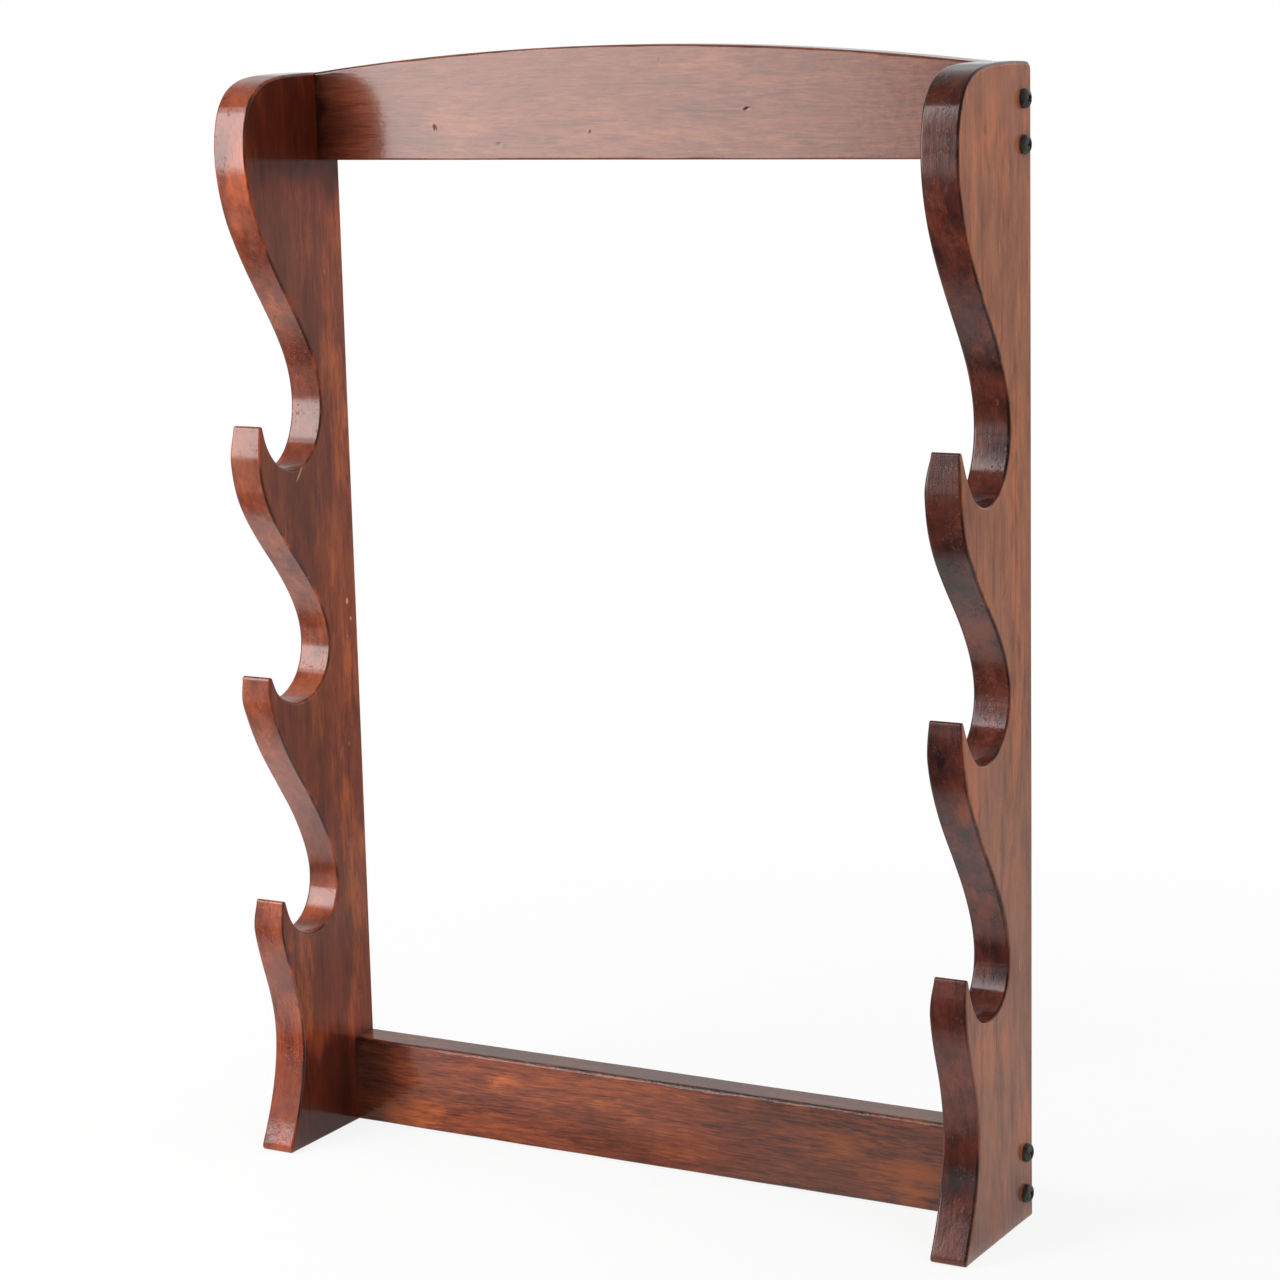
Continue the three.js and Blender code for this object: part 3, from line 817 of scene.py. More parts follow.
def keyhole_plate(name, side):
    half = PLATE_THICK / 2
    front_y = BACK_Y - PLATE_SINK - PLATE_THICK
    hole_r, sink = 1.85, 1.3                        # screw hole and its 45 degree countersink

    def place(points, heights):
        return np.c_[side * PLATE_X + points[:, 0], front_y + half + heights,
                     PLATE_Z + points[:, 1]]

    rim = round_levels(0.28, half, steps=4, between=1)
    loops = [(outline, outline_normals(outline), rim)
             for outline in (plate_outline(), keyhole_outline())]
    for dz in (-PLATE_SCREW_DZ, PLATE_SCREW_DZ):
        loops.append(hole_loop(circle(0, dz, hole_r, 36)[::-1], [0, dz], hole_r,
                               [(0, -half, 0, 0), (0, half - sink, 0, 45), (sink, half, 45, 45)]))
    return plate(name, loops, place, axis=(0, 1, 0), spacing=2.0, margin=0.9)


def copy_of(template, name, matrix):
    mesh = template.data.copy()
    mesh.name = name
    ob = bpy.data.objects.new(name, mesh)
    scene.collection.objects.link(ob)
    mesh.transform(matrix)
    return ob


# ----------------------------------------------------------------------------------------------
# node helpers
# ----------------------------------------------------------------------------------------------
class Nodes:
    """Builds a node tree. A value given to a node is a socket to link or a constant."""

    def __init__(self, tree, output="ShaderNodeOutputMaterial"):
        self.tree = tree
        tree.nodes.clear()
        self.output = self.node(output)

    def node(self, kind, inputs=None, **attributes):
        node = self.tree.nodes.new(kind)
        for key, value in attributes.items():
            setattr(node, key, value)
        for key, value in (inputs or {}).items():
            self.feed(node.inputs[key], value)
        return node

    def feed(self, socket, value):
        if isinstance(value, bpy.types.NodeSocket):
            self.tree.links.new(value, socket)
        else:
            socket.default_value = value

    def surface(self, shader):
        self.feed(self.output.inputs[0], shader.outputs[0])

    def math(self, operation, a, b=0.0, clamp=False):
        return self.node("ShaderNodeMath", {0: a, 1: b}, operation=operation,
                         use_clamp=clamp).outputs[0]

    def plus(self, a, b):
        return self.math("ADD", a, b)

    def minus(self, a, b):
        return self.math("SUBTRACT", a, b)

    def times(self, a, b):
        return self.math("MULTIPLY", a, b)

    def inverse(self, x):
        """One minus x."""
        return self.minus(1.0, x)

    def scaled(self, x, scale, offset):
        return self.plus(self.times(x, scale), offset)

    def swayed(self, base, *parts):
        """base plus each (noise, amount) of parts, the noise counted from its middle."""
        for noise, amount in parts:
            base = self.plus(base, self.centred(noise, amount))
        return base

    def centred(self, noise, amount):
        return self.times(self.minus(noise, 0.5), amount)

    def vector(self, operation, a, b=(0, 0, 0)):
        second = "Scale" if operation == "SCALE" else 1
        node = self.node("ShaderNodeVectorMath", {0: a, second: b}, operation=operation)
        return node.outputs["Value" if operation in ("LENGTH", "DOT_PRODUCT") else "Vector"]

    def split(self, vector):
        return self.node("ShaderNodeSeparateXYZ", {0: vector}).outputs

    def coordinates(self, kind):
        return self.node("ShaderNodeTexCoord").outputs[kind]

    def noise(self, vector, scale, detail, rough, color=False):
        node = self.node("ShaderNodeTexNoise", {"Vector": vector, "Scale": scale,
                                                "Detail": detail, "Roughness": rough})
        return node.outputs["Color" if color else 0]

    def fibres(self, vector, across, along, detail, rough, color=False):
        """Noise with its own scales across and along the third axis."""
        stretched = self.vector("MULTIPLY", vector, (across, across, along))
        return self.noise(stretched, 1, detail, rough, color)

    def span(self, x, start, end, low=0.0, high=1.0, kind="SMOOTHSTEP"):
        """low where x is at start, high where it is at end."""
        return self.node("ShaderNodeMapRange",
                         {"Value": x, "From Min": start, "From Max": end,
                          "To Min": low, "To Max": high}, interpolation_type=kind).outputs[0]

    def ramp(self, x, places, colors):
        node = self.node("ShaderNodeValToRGB", {0: x})
        stops = node.color_ramp.elements
        while len(stops) < len(places):
            stops.new(0.5)
        for stop, place, color in zip(stops, places, colors):
            stop.position = place
            stop.color = (*color, 1.0)
        return node.outputs[0]

    def mix(self, share, a, b):
        return self.node("ShaderNodeMix", {0: share, 6: a, 7: b}, data_type="RGBA",
                         blend_type="MIX").outputs[2]

    def blend(self, color, mask, amount, other):
        """color with some of another colour where mask is 1."""
        return self.mix(self.times(mask, amount), color, other)

    def bump(self, height, distance, strength):
        return self.node("ShaderNodeBump", {"Distance": distance, "Strength": strength,
                                            "Height": height}).outputs[0]

    def emission(self, color, strength):
        return self.node("ShaderNodeEmission", {0: (*color, 1), 1: strength})

    def mix_shader(self, share, first, second):
        return self.node("ShaderNodeMixShader",
                         {0: share, 1: first.outputs[0], 2: second.outputs[0]})


def new_material(name):
    material = bpy.data.materials.new(name)
    material.use_nodes = True
    return material, Nodes(material.node_tree)


def srgb(*channels):
    """Linear colour from 0..255 sRGB channels."""
    return tuple((c / 255 / 12.92) if c <= 10.31 else ((c / 255 + 0.055) / 1.055) ** 2.4
                 for c in channels)


def shade(color, factor):
    return (*[c * factor for c in color], 1.0)


# ----------------------------------------------------------------------------------------------
# wood
# ----------------------------------------------------------------------------------------------
# surfaces picked out by a component of their normal: (component, none of it at, all of it at)
FACING = {"plus_x": ("X", 0.3, 0.7), "top": ("Z", 0.4, 0.8), "front": ("Y", -0.4, -0.8)}
PALE_MARK = (0.85, 0.42, 0.13, 1.0)


class Wood:
    """Stained, lacquered hardwood. Fibres run along Z on a panel and along X on a rail. Colours
    are dark, middle, light and thin stain; only a panel has others for its sawn edge."""

    def __init__(self, name, seed, face_colors, edge_colors=None):
        self.material, self.net = new_material(name)
        net = self.net
        self.is_panel = edge_colors is not None
        self.face_colors = face_colors
        self.edge_colors = edge_colors or face_colors
        self.place = net.coordinates("Object")
        self.axes = net.split(self.place)
        # board coordinates have the fibres along their third axis
        order = "XYZ" if self.is_panel else "ZYX"
        turned = net.node("ShaderNodeCombineXYZ", {k: self.axes[a] for k, a in enumerate(order)})
        self.board = net.vector("ADD", turned.outputs[0],
                                (seed * 0.731, seed * 0.417, seed * 1.193))
        # fibres wander a little along the board
        drift = net.fibres(self.board, across=10, along=3.2, detail=3, rough=0.5, color=True)
        drift = net.vector("SUBTRACT", drift, (0.5, 0.5, 0.5))
        drift = net.vector("MULTIPLY", drift, (0.016, 0.016, 0.0))
        self.wavy = net.vector("ADD", self.board, drift)
        self.normal = net.split(net.node("ShaderNodeNewGeometry").outputs["Normal"])
        if self.is_panel:
            self.sideways = net.math("ABSOLUTE", self.normal["X"])
            self.face = net.span(self.sideways, start=0.55, end=0.95)
        self.rim = self.rim_mask()
        # fibres are under a millimetre wide and a centimetre or two long
        self.fibre = net.fibres(self.wavy, across=1150, along=88, detail=4.0, rough=0.66)
        self.strand = net.fibres(self.wavy, across=430, along=17, detail=3.0, rough=0.60)
        self.smudge = net.fibres(self.wavy, across=190, along=44, detail=3.0, rough=0.58)
        self.soft = net.fibres(self.board, across=46, along=13, detail=3.0, rough=0.55)
        pores = net.fibres(self.wavy, across=2400, along=150, detail=1.0, rough=0.5)
        self.pore = net.span(pores, start=0.63, end=0.74)

    def rim_mask(self):
        """The rounded edges, where the normal is between two faces."""
        net = self.net
        if self.is_panel:
            slant = net.times(self.sideways, net.inverse(self.sideways))
            return net.math("MULTIPLY", slant, 4.0, clamp=True)
        slant = net.math("MINIMUM", *(net.math("ABSOLUTE", self.normal[a]) for a in "YZ"))
        return net.math("MULTIPLY", slant, 1.5, clamp=True)

    def pick(self, on_face, on_edge):
        """A number for the face, another for a panel's sawn edge."""
        if not self.is_panel:
            return on_face
        return self.net.scaled(self.face, scale=on_face - on_edge, offset=on_edge)

    def mask(self, where):
        if where == "face":
            return self.face
        if where == "edge":
            return self.net.inverse(self.face)
        component, start, end = FACING[where]
        return self.net.span(self.normal[component], start=start, end=end)

    def figure(self, streak, smear):
        """Grain colour, the thick-stain colour and the thin-stain colour."""
        net = self.net
        wide = net.fibres(self.wavy, across=88, along=5.0, detail=3.0, rough=0.50)
        tone = net.swayed(net.centred(self.fibre, 0.80 * streak), (self.strand, 0.42 * streak),
                          (self.smudge, 0.62 * smear), (wide, 0.45 * smear),
                          (self.soft, 0.55 * smear))
        places = (0.20, 0.50, 0.80)
        color = net.ramp(net.plus(tone, 0.5), places, self.face_colors)
        thick, thin = shade(self.face_colors[0], 1.0), shade(self.face_colors[3], 1.0)
        if self.is_panel:
            # across the sawn edge the figure is mottled rather than streaked
            mottle = net.fibres(self.board, across=70, along=45, detail=5.0, rough=0.66)
            tone = net.swayed(net.centred(mottle, 1.3 * smear), (self.soft, 0.7 * smear))
            tone = net.swayed(net.plus(tone, 0.5), (self.fibre, 0.45 * streak),
                              (self.strand, 0.55 * streak))
            color = net.mix(self.face, net.ramp(tone, places, self.edge_colors), color)
            thick = net.mix(self.face, shade(self.edge_colors[0], 1.0), thick)
            thin = net.mix(self.face, shade(self.edge_colors[3], 1.0), thin)
        return color, thick, thin

    def stain(self, color, thick, thin, patch, cloud):
        net = self.net
        # thin stain: orange patches that break up along the fibres
        patches = net.fibres(self.board, across=44, along=15, detail=4.0, rough=0.62)
        broken = net.swayed(net.centred(self.fibre, 0.26), (self.smudge, 0.26))
        patches = net.span(net.plus(patches, broken), start=0.50, end=0.72)
        color = net.blend(color, patches, patch, thin)
        # thick stain: dark clouds
        clouds = net.fibres(self.board, across=19, along=8, detail=4.0, rough=0.60)
        clouds = net.span(net.swayed(clouds, (self.strand, 0.25)), start=0.50, end=0.74)
        return net.blend(color, clouds, cloud, thick)

    def flecks(self, color):
        """Pores filled with stain, a few pale specks and long thin scratches."""
        net = self.net
        dark, thin = self.face_colors[0], self.face_colors[3]
        color = net.blend(color, self.pore, amount=0.38, other=shade(dark, 0.30))
        speck = net.fibres(self.board, across=420, along=260, detail=1.0, rough=0.5)
        speck = net.span(speck, start=0.765, end=0.81)
        color = net.blend(color, speck, amount=0.12, other=shade(thin, 1.5))
        scratch = net.fibres(self.wavy, across=620, along=9, detail=0.0, rough=0.5)
        scratch = net.span(scratch, start=0.745, end=0.80)
        return net.blend(color, scratch, amount=0.35, other=shade(dark, 0.4))

    def zone_colors(self, color, zones, tints):
        """Zones scale the colour past their second place; tints multiply it by a colour. Several
        are painted shade, painted highlights and a painted reflection.
        """
        net = self.net
        for axis, start, end, factor, where in zones:
            place = net.swayed(self.axes[axis], (self.soft, 0.05))
            change = net.span(place, start * MM, end * MM, low=0.0, high=factor - 1.0)
            if where != "all":
                change = net.times(change, self.mask(where))
            color = net.vector("SCALE", color, net.plus(change, 1.0))
        for axis, start, end, tint, where in tints:
            place = net.swayed(self.axes[axis], (self.soft, 0.05))
            share = net.times(net.span(place, start * MM, end * MM), self.mask(where))
            color = net.mix(share, color, net.vector("MULTIPLY", color, tint))
        return color

    def add_marks(self, color, marks):
        """Small spots on a panel's face towards +X or on a rail's front."""
        net = self.net
        for place, z, radius, radius_z, tilt, strength in marks:
            cos, sin = math.cos(tilt), math.sin(tilt)
            if self.is_panel:
                centre, along, up = (0, place * MM, z * MM), (0, cos, sin), (0, -sin, cos)
                facing = net.span(self.normal["X"], start=0.3, end=0.7)
            else:
                centre, along, up = (place * MM, 0, z * MM), (cos, 0, sin), (-sin, 0, cos)
                facing = net.span(self.normal["Y"], start=-0.3, end=-0.7)
            offset = net.vector("SUBTRACT", self.place, centre)
            x = net.times(net.vector("DOT_PRODUCT", offset, along), 1.0 / (radius * MM))
            y = net.times(net.vector("DOT_PRODUCT", offset, up), 1.0 / (radius_z * MM))
            square = net.plus(net.times(x, x), net.times(y, y))
            square = net.swayed(square, (self.fibre, 1.6))
            spot = net.times(net.span(square, start=1.5, end=0.3), facing)
            other = shade(self.face_colors[0], 0.35) if strength > 0 else PALE_MARK
            color = net.blend(color, spot, abs(strength), other)
        return color

    def rim_color(self, color, glow, dark):
        """Rounded edges are rubbed through in places, and elsewhere hold stain and painted shade.
        """
        net = self.net
        worn = net.fibres(self.board, across=60, along=24, detail=3.0, rough=0.6)
        worn = net.span(worn, start=0.44, end=0.60)
        red, green, blue = self.edge_colors[3]
        rubbed = (red * 1.1, green * 0.8, blue * 0.8, 1.0)
        color = net.blend(color, net.times(self.rim, worn), glow, rubbed)
        # painted shade: the unworn rounded edges darkened, along with the stain they hold
        held_stain_and_shade = net.times(self.rim, net.inverse(worn))
        return net.blend(color, held_stain_and_shade, dark, shade(self.edge_colors[0], 0.45))

    def grain_height(self):
        net = self.net
        height = net.plus(net.times(self.strand, 0.35), net.times(self.fibre, 0.55))
        return net.minus(height, net.times(self.pore, 0.45))

    def lacquer_height(self, rough_rim):
        """The lacquer follows the fibres faintly and has brush drag of its own."""
        net = self.net
        drag = net.fibres(self.wavy, across=520, along=40, detail=2.0, rough=0.5)
        ripple = net.noise(self.board, scale=190, detail=2.0, rough=0.5)
        height = net.plus(net.times(drag, self.pick(0.75, 0.32)), net.times(ripple, 0.55))
        height = net.plus(height, net.times(self.fibre, 0.18))
        if rough_rim:
            # long edges left rough from the plane
            torn = net.fibres(self.board, across=900, along=260, detail=3.0, rough=0.65)
            height = net.plus(height, net.times(net.times(self.rim, torn), rough_rim))
        if self.is_panel:
            # open end grain leaves the lacquer pitted
            pit = net.fibres(self.board, across=900, along=620, detail=3.0, rough=0.7)
            patchy = net.noise(self.board, scale=95, detail=2.0, rough=0.5)
            pit = net.times(net.span(pit, start=0.56, end=0.70),
                            net.span(patchy, start=0.50, end=0.60))
            pit = net.times(pit, net.inverse(self.face))
            height = net.minus(height, net.times(pit, 1.1))
        return height


def wood(name, seed, face_colors, edge_colors=None, *, rim_stain_and_shade, rim_glow, patch, cloud, streak,
         smear, edge_patch=0.5, edge_cloud=0.5, marks=(), zones=(), tints=(), rough_rim=0.0,
         coat_rough=0.11):
    """patch and cloud are the amounts of thin and thick stain, streak and smear those of the fine
    and the broad figure. zones are (axis, from, to, factor, where), tints the same with a colour
    for the factor. marks are (y on a panel or x on a rail, z, radius along, radius up, tilt,
    strength); a negative strength is a pale mark."""
    board = Wood(name, seed, face_colors, edge_colors)
    net = board.net
    color, thick, thin = board.figure(streak, smear)
    color = board.stain(color, thick, thin, board.pick(patch, edge_patch),
                        board.pick(cloud, edge_cloud))
    color = board.flecks(color)
    color = board.zone_colors(color, zones, tints)
    color = board.add_marks(color, marks)
    color = board.rim_color(color, rim_glow, rim_stain_and_shade)
    rough = net.plus(net.times(board.fibre, 0.20), net.scaled(board.soft, 0.14, offset=0.26))
    net.surface(net.node("ShaderNodeBsdfPrincipled", {
        "Base Color": color,
        "Roughness": rough,
        "IOR": 1.45,
        "Specular IOR Level": 0.12,
        "Normal": net.bump(board.grain_height(), distance=0.00014, strength=0.6),
        "Coat Weight": 1.0,
        "Coat Roughness": coat_rough,
        "Coat IOR": 1.5,
        "Coat Normal": net.bump(board.lacquer_height(rough_rim), distance=0.00011, strength=0.9),
    }))
    return board.material


def left_wood():
    return wood(
        "stained_wood_left", 1.0,
        (srgb(74, 28, 16), srgb(120, 54, 30), srgb(146, 74, 40), srgb(186, 94, 40)),
        (srgb(66, 26, 17), srgb(118, 54, 33), srgb(150, 78, 46), srgb(182, 84, 34)),
        rim_stain_and_shade=0.85, rim_glow=0.45, patch=0.55, cloud=0.50, edge_patch=0.60, edge_cloud=0.55,
        streak=0.45, smear=0.8,
        # painted shade: the inner face darker under the top rail and over the bottom rail, with
        # stain gathered at the joints
        zones=[("Z", 488, 503, 0.40, "plus_x"), ("Z", 60, 46, 0.32, "plus_x"),
               # lighter towards the back of both faces; painted highlight on the edge across the
               # upper lobe
               ("Y", 2, 34, 1.4, "face"), ("Z", 462, 492, 1.30, "edge"),
               # painted highlight: a band across the edge at the middle hook tip
               ("Z", 225, 245, 1.22, "edge"), ("Z", 256, 262, 0.82, "edge"),
               # painted highlight: a band across the edge at the lowest hook tip
               ("Z", 104, 124, 1.45, "edge"), ("Z", 135, 141, 0.69, "edge"),
               # painted shade: the foot's edge darker towards the floor
               ("Z", 40, 10, 0.85, "edge")],
        tints=[("Z", 80, 40, (1.10, 0.84, 0.60), "edge"),
               # the inner face redder next to both rails, with the painted shade and stain there
               ("Z", 72, 40, (1.25, 0.80, 0.66), "plus_x"),
               ("Z", 470, 505, (1.15, 0.82, 0.70), "plus_x")],
        marks=[(31.9, 280.4, 1.1, 1.8, 0.0, -0.8), (34.6, 270.8, 0.8, 1.2, 0.2, -0.6),
               (31.0, 262.0, 0.4, 0.6, 0.0, -0.5), (4.8, 125.8, 0.5, 1.2, 0.1, -0.5),
               (14.0, 396.0, 0.5, 2.2, 0.1, -0.5), (-6.0, 352.0, 0.7, 5.0, -0.7, -0.45),
               (24.0, 452.0, 0.4, 1.5, 0.0, -0.4), (28.5, 205.0, 0.4, 1.2, 0.2, -0.45),
               (18.0, 236.0, 0.6, 0.8, 0.0, 0.4)])


def right_wood():
    return wood(
        "stained_wood_right", 2.0,
        (srgb(104, 56, 38), srgb(150, 90, 62), srgb(168, 106, 72), srgb(196, 106, 56)),
        (srgb(36, 12, 10), srgb(79, 31, 22), srgb(108, 50, 33), srgb(138, 61, 31)),
        rim_stain_and_shade=0.9, rim_glow=0.06, patch=0.58, cloud=0.60, edge_patch=0.56, edge_cloud=0.75,
        streak=0.5, smear=1.1,
        # painted shade: the outer face darker towards the floor; then lighter from z 220 up to 340
        # and above
        zones=[("Z", 40, 14, 0.74, "plus_x"), ("Z", 220, 340, 1.24, "plus_x"),
               # painted shade: the edge darker over the top of the upper lobe
               ("Z", 490, 516, 0.58, "edge")],
        marks=[(8.7, 313.0, 0.45, 5.5, -0.65, 0.45), (11.5, 309.0, 0.35, 3.0, -0.4, 0.35),
               (-12.0, 523.0, 1.6, 2.4, 0.2, 0.35), (33.0, 556.0, 1.2, 1.6, 0.3, -0.55),
               (22.0, 552.0, 1.0, 1.3, 0.1, -0.4), (20.0, 415.0, 0.5, 4.0, 0.0, 0.3),
               (4.0, 470.0, 0.5, 3.5, 0.1, -0.35), (14.0, 505.0, 0.4, 3.0, 0.0, -0.35),
               (17.0, 258.0, 0.4, 3.2, 0.1, -0.3), (-4.0, 190.0, 0.5, 2.6, 0.1, 0.3),
               (25.0, 130.0, 0.4, 3.0, 0.0, -0.3)])


def top_wood():
    return wood(
        "stained_wood_top", 3.0,
        (srgb(84, 40, 28), srgb(118, 64, 44), srgb(140, 82, 56), srgb(184, 108, 58)),
        rim_stain_and_shade=0.35, rim_glow=0.05, patch=0.22, cloud=0.28, streak=1.15, smear=0.40,
        coat_rough=0.14,
        # painted shade and a painted dark reflection of the left panel: the rail darker towards its
        # left end
        zones=[("X", -146, -180, 0.38, "all"), ("X", -176, -182, 0.35, "all")],
        # the front redder there, as the painted reflection of the left panel
        tints=[("X", -140, -165, (1.12, 0.80, 0.70), "front")],
        marks=[(-110.2, 524.4, 0.55, 1.5, 0.30, 0.85), (-106.5, 524.2, 0.4, 0.5, 0.0, 0.5),
               (63.9, 532.2, 1.2, 0.55, 0.15, 0.85), (-21.5, 521.8, 0.5, 0.7, -0.1, 0.6),
               (-73.5, 516.1, 1.7, 0.9, 0.05, 0.5), (-70.0, 514.9, 2.2, 1.5, 0.4, 0.4),
               (17.3, 556.0, 0.7, 1.2, -0.5, 0.5), (-118.0, 541.0, 0.5, 0.4, 0.4, 0.5),
               (96.0, 545.0, 0.9, 0.5, 0.2, 0.4), (40.0, 516.5, 2.0, 0.9, 0.1, 0.3),
               (122.0, 524.0, 0.5, 0.5, 0.0, 0.5)])


def low_wood():
    return wood(
        "stained_wood_low", 4.0,
        (srgb(62, 24, 15), srgb(118, 54, 31), srgb(150, 76, 40), srgb(192, 98, 38)),
        rim_stain_and_shade=0.75, rim_glow=0.0, patch=0.58, cloud=0.42, streak=1.45, smear=0.65,
        rough_rim=6.0,
        # painted shade: the front darker towards the left end by the left panel, and the whole end
        # darker at the joint
        zones=[("X", -138, -165, 0.34, "front"), ("X", -176, -182, 0.4, "all"),
               ("X", -150, -105, 0.52, "top"), ("X", 5, 70, 0.60, "front"),
               ("X", -30, -90, 1.15, "front")])


# ----------------------------------------------------------------------------------------------
# metals
# ----------------------------------------------------------------------------------------------
def black_steel():
    material, net = new_material("black_screw_finish")
    place = net.coordinates("Object")
    blot = net.noise(place, scale=420, detail=4, rough=0.6)
    grit = net.noise(place, scale=3800, detail=3, rough=0.6)
    worn = net.span(net.noise(place, scale=900, detail=3, rough=0.55), start=0.56, end=0.70)
    color = net.ramp(blot, (0.30, 0.55, 0.75), ((0.050, 0.048, 0.045), (0.105, 0.102, 0.094),
                                                (0.180, 0.172, 0.155)))
    color = net.blend(color, worn, amount=0.35, other=(0.10, 0.09, 0.085, 1.0))
    net.surface(net.node("ShaderNodeBsdfPrincipled", {
        "Base Color": color,
        "Metallic": 0.75,
        "Roughness": net.plus(net.times(blot, 0.25), net.scaled(grit, 0.12, offset=0.20)),
        "Normal": net.bump(grit, distance=0.00003, strength=0.6),
    }))
    return material


def zinc_steel():
    """Spangled zinc with fine scuffs."""
    material, net = new_material("zinc_finish")
    place = net.coordinates("Object")
    wobble = net.noise(place, scale=300, detail=2, rough=0.5, color=True)
    wobbly = net.vector("ADD", place, net.vector("SCALE", wobble, 0.0012))
    cells = net.node("ShaderNodeTexVoronoi", {"Vector": wobbly, "Scale": 420}, feature="F1")
    spangle = net.node("ShaderNodeSeparateColor", {0: cells.outputs["Color"]}).outputs[0]
    scuff = net.fibres(place, across=2600, along=160, detail=3, rough=0.6)
    tone = net.plus(net.times(spangle, 0.45), net.times(scuff, 0.55))
    net.surface(net.node("ShaderNodeBsdfPrincipled", {
        "Base Color": net.ramp(tone, (0.15, 0.5, 0.85), ((0.36, 0.37, 0.38), (0.52, 0.53, 0.54),
                                                         (0.68, 0.68, 0.67))),
        "Metallic": 1.0,
        "Roughness": net.scaled(tone, scale=0.25, offset=0.20),
        "Normal": net.bump(scuff, distance=0.00003, strength=0.5),
    }))
    return material


# ----------------------------------------------------------------------------------------------
# build
# ----------------------------------------------------------------------------------------------
def dress(ob, node, material):
    ob.data.materials.clear()
    ob.data.materials.append(material)
    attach(ob, "root")
    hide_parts(node)


def add_pan_screws(material):
    # how far each screw is turned, in radians: top upper, top lower, bottom upper, bottom lower
    turns = {-1: [0.35, 1.1, 0.7, 0.2], 1: [0.62, 0.15, 1.25, 0.9]}
    template = pan_screw()
    for side_name, side in (("left", -1), ("right", 1)):
        screws = [(f"{side_name}_{rail_name}_{level}", z, thick)
                  for rail_name, heights, thick in (("top", TOP_SCREWS, TOP_THICK),
                                                    ("bottom", LOW_SCREWS, LOW_THICK))
                  for level, z in zip(("upper", "lower"), heights)]
        for (label, z, thick), turn in zip(screws, turns[side]):
            place = Vector((side * (HALF_WIDTH + 0.3) * MM, (BACK_Y - thick / 2) * MM, z * MM))
            matrix = (Matrix.Translation(place)
                      @ (Matrix.Identity(4) if side > 0 else Matrix.Rotation(math.pi, 4, "Z"))
                      @ Matrix.Rotation(turn, 4, "X"))
            dress(copy_of(template, f"pan_screw_{label}", matrix), f"assembly_screw_{label}",
                  material)
    bpy.data.objects.remove(template)


def add_hangers(material):
    template = flat_screw()
    screw_y = BACK_Y - PLATE_SINK - 0.15
    for side_name, side in (("left", -1), ("right", 1)):
        dress(keyhole_plate(f"hanger_plate_{side_name}", side), f"keyhole_plate_{side_name}",
              material)
        for i, (level, dz) in enumerate((("upper", PLATE_SCREW_DZ), ("lower", -PLATE_SCREW_DZ))):
            place = (side * PLATE_X * MM, screw_y * MM, (PLATE_Z + dz) * MM)
            matrix = (Matrix.Translation(place)
                      @ Matrix.Rotation(0.4 + 0.9 * i + 0.5 * side, 4, "Y"))
            dress(copy_of(template, f"hanger_screw_{side_name}_{level}", matrix),
                  f"plate_screw_{side_name}_{level}", material)
    bpy.data.objects.remove(template)


def build_rack():
    left, right, top, low = left_wood(), right_wood(), top_wood(), low_wood()
    black, zinc = black_steel(), zinc_steel()
    dress(side_panel("panel_board_left", -1, seed=101), "side_panel_left", left)
    dress(side_panel("panel_board_right", 1, seed=201), "side_panel_right", right)
    dress(top_rail(), "top_rail", top)
    dress(bottom_rail(), "bottom_rail", low)
    add_pan_screws(black)
    add_hangers(zinc)


# ----------------------------------------------------------------------------------------------
# floor, light and camera, in metres
# ----------------------------------------------------------------------------------------------
def stage_plane(name, corners):
    mesh = bpy.data.meshes.new(name)
    mesh.from_pydata(corners, [], [(0, 1, 2, 3)])
    ob = bpy.data.objects.new(name, mesh)
    scene.collection.objects.link(ob)
    return ob


def floor_reflection(net, place):
    """How bright the floor looks in the lacquer: dim close in front of the rack, brighter behind
    it and far out in front on the left."""
    axes = net.split(place)
    x = axes["X"]
    front = net.minus(net.times(axes["Y"], -1.0), 0.04)
    slant = net.minus(x, net.times(axes["Y"], 0.56))
    rear = net.scaled(net.span(slant, start=-0.05, end=0.12), scale=0.50, offset=0.34)
    near = net.plus(rear, net.times(net.span(front, start=-0.30, end=-0.02),
                                    net.minus(0.78, rear)))
    near = net.times(net.span(front, start=0.16, end=0.05), near)
    # brighter outside the left panel
    outside = net.times(net.span(x, start=-0.17, end=-0.24),
                        net.span(front, start=-0.10, end=0.0, low=0.0, high=0.6))
    near = net.times(near, net.plus(1.0, outside))
    # dimmer under and behind the rack, less so in its right half
    under = net.times(net.span(front, start=0.01, end=-0.04),
                      net.span(x, start=-0.21, end=-0.175))
    right_half = net.times(net.span(x, start=-0.01, end=0.06),
                           net.span(x, start=0.21, end=0.195))
    under = net.times(under, net.inverse(right_half))
    near = net.times(near, net.inverse(net.times(under, 0.6)))
    lit = net.times(net.span(front, start=0.45, end=0.75), net.span(x, start=-0.25, end=-0.60))
    return net.plus(net.plus(near, 0.10), net.times(lit, 0.5))


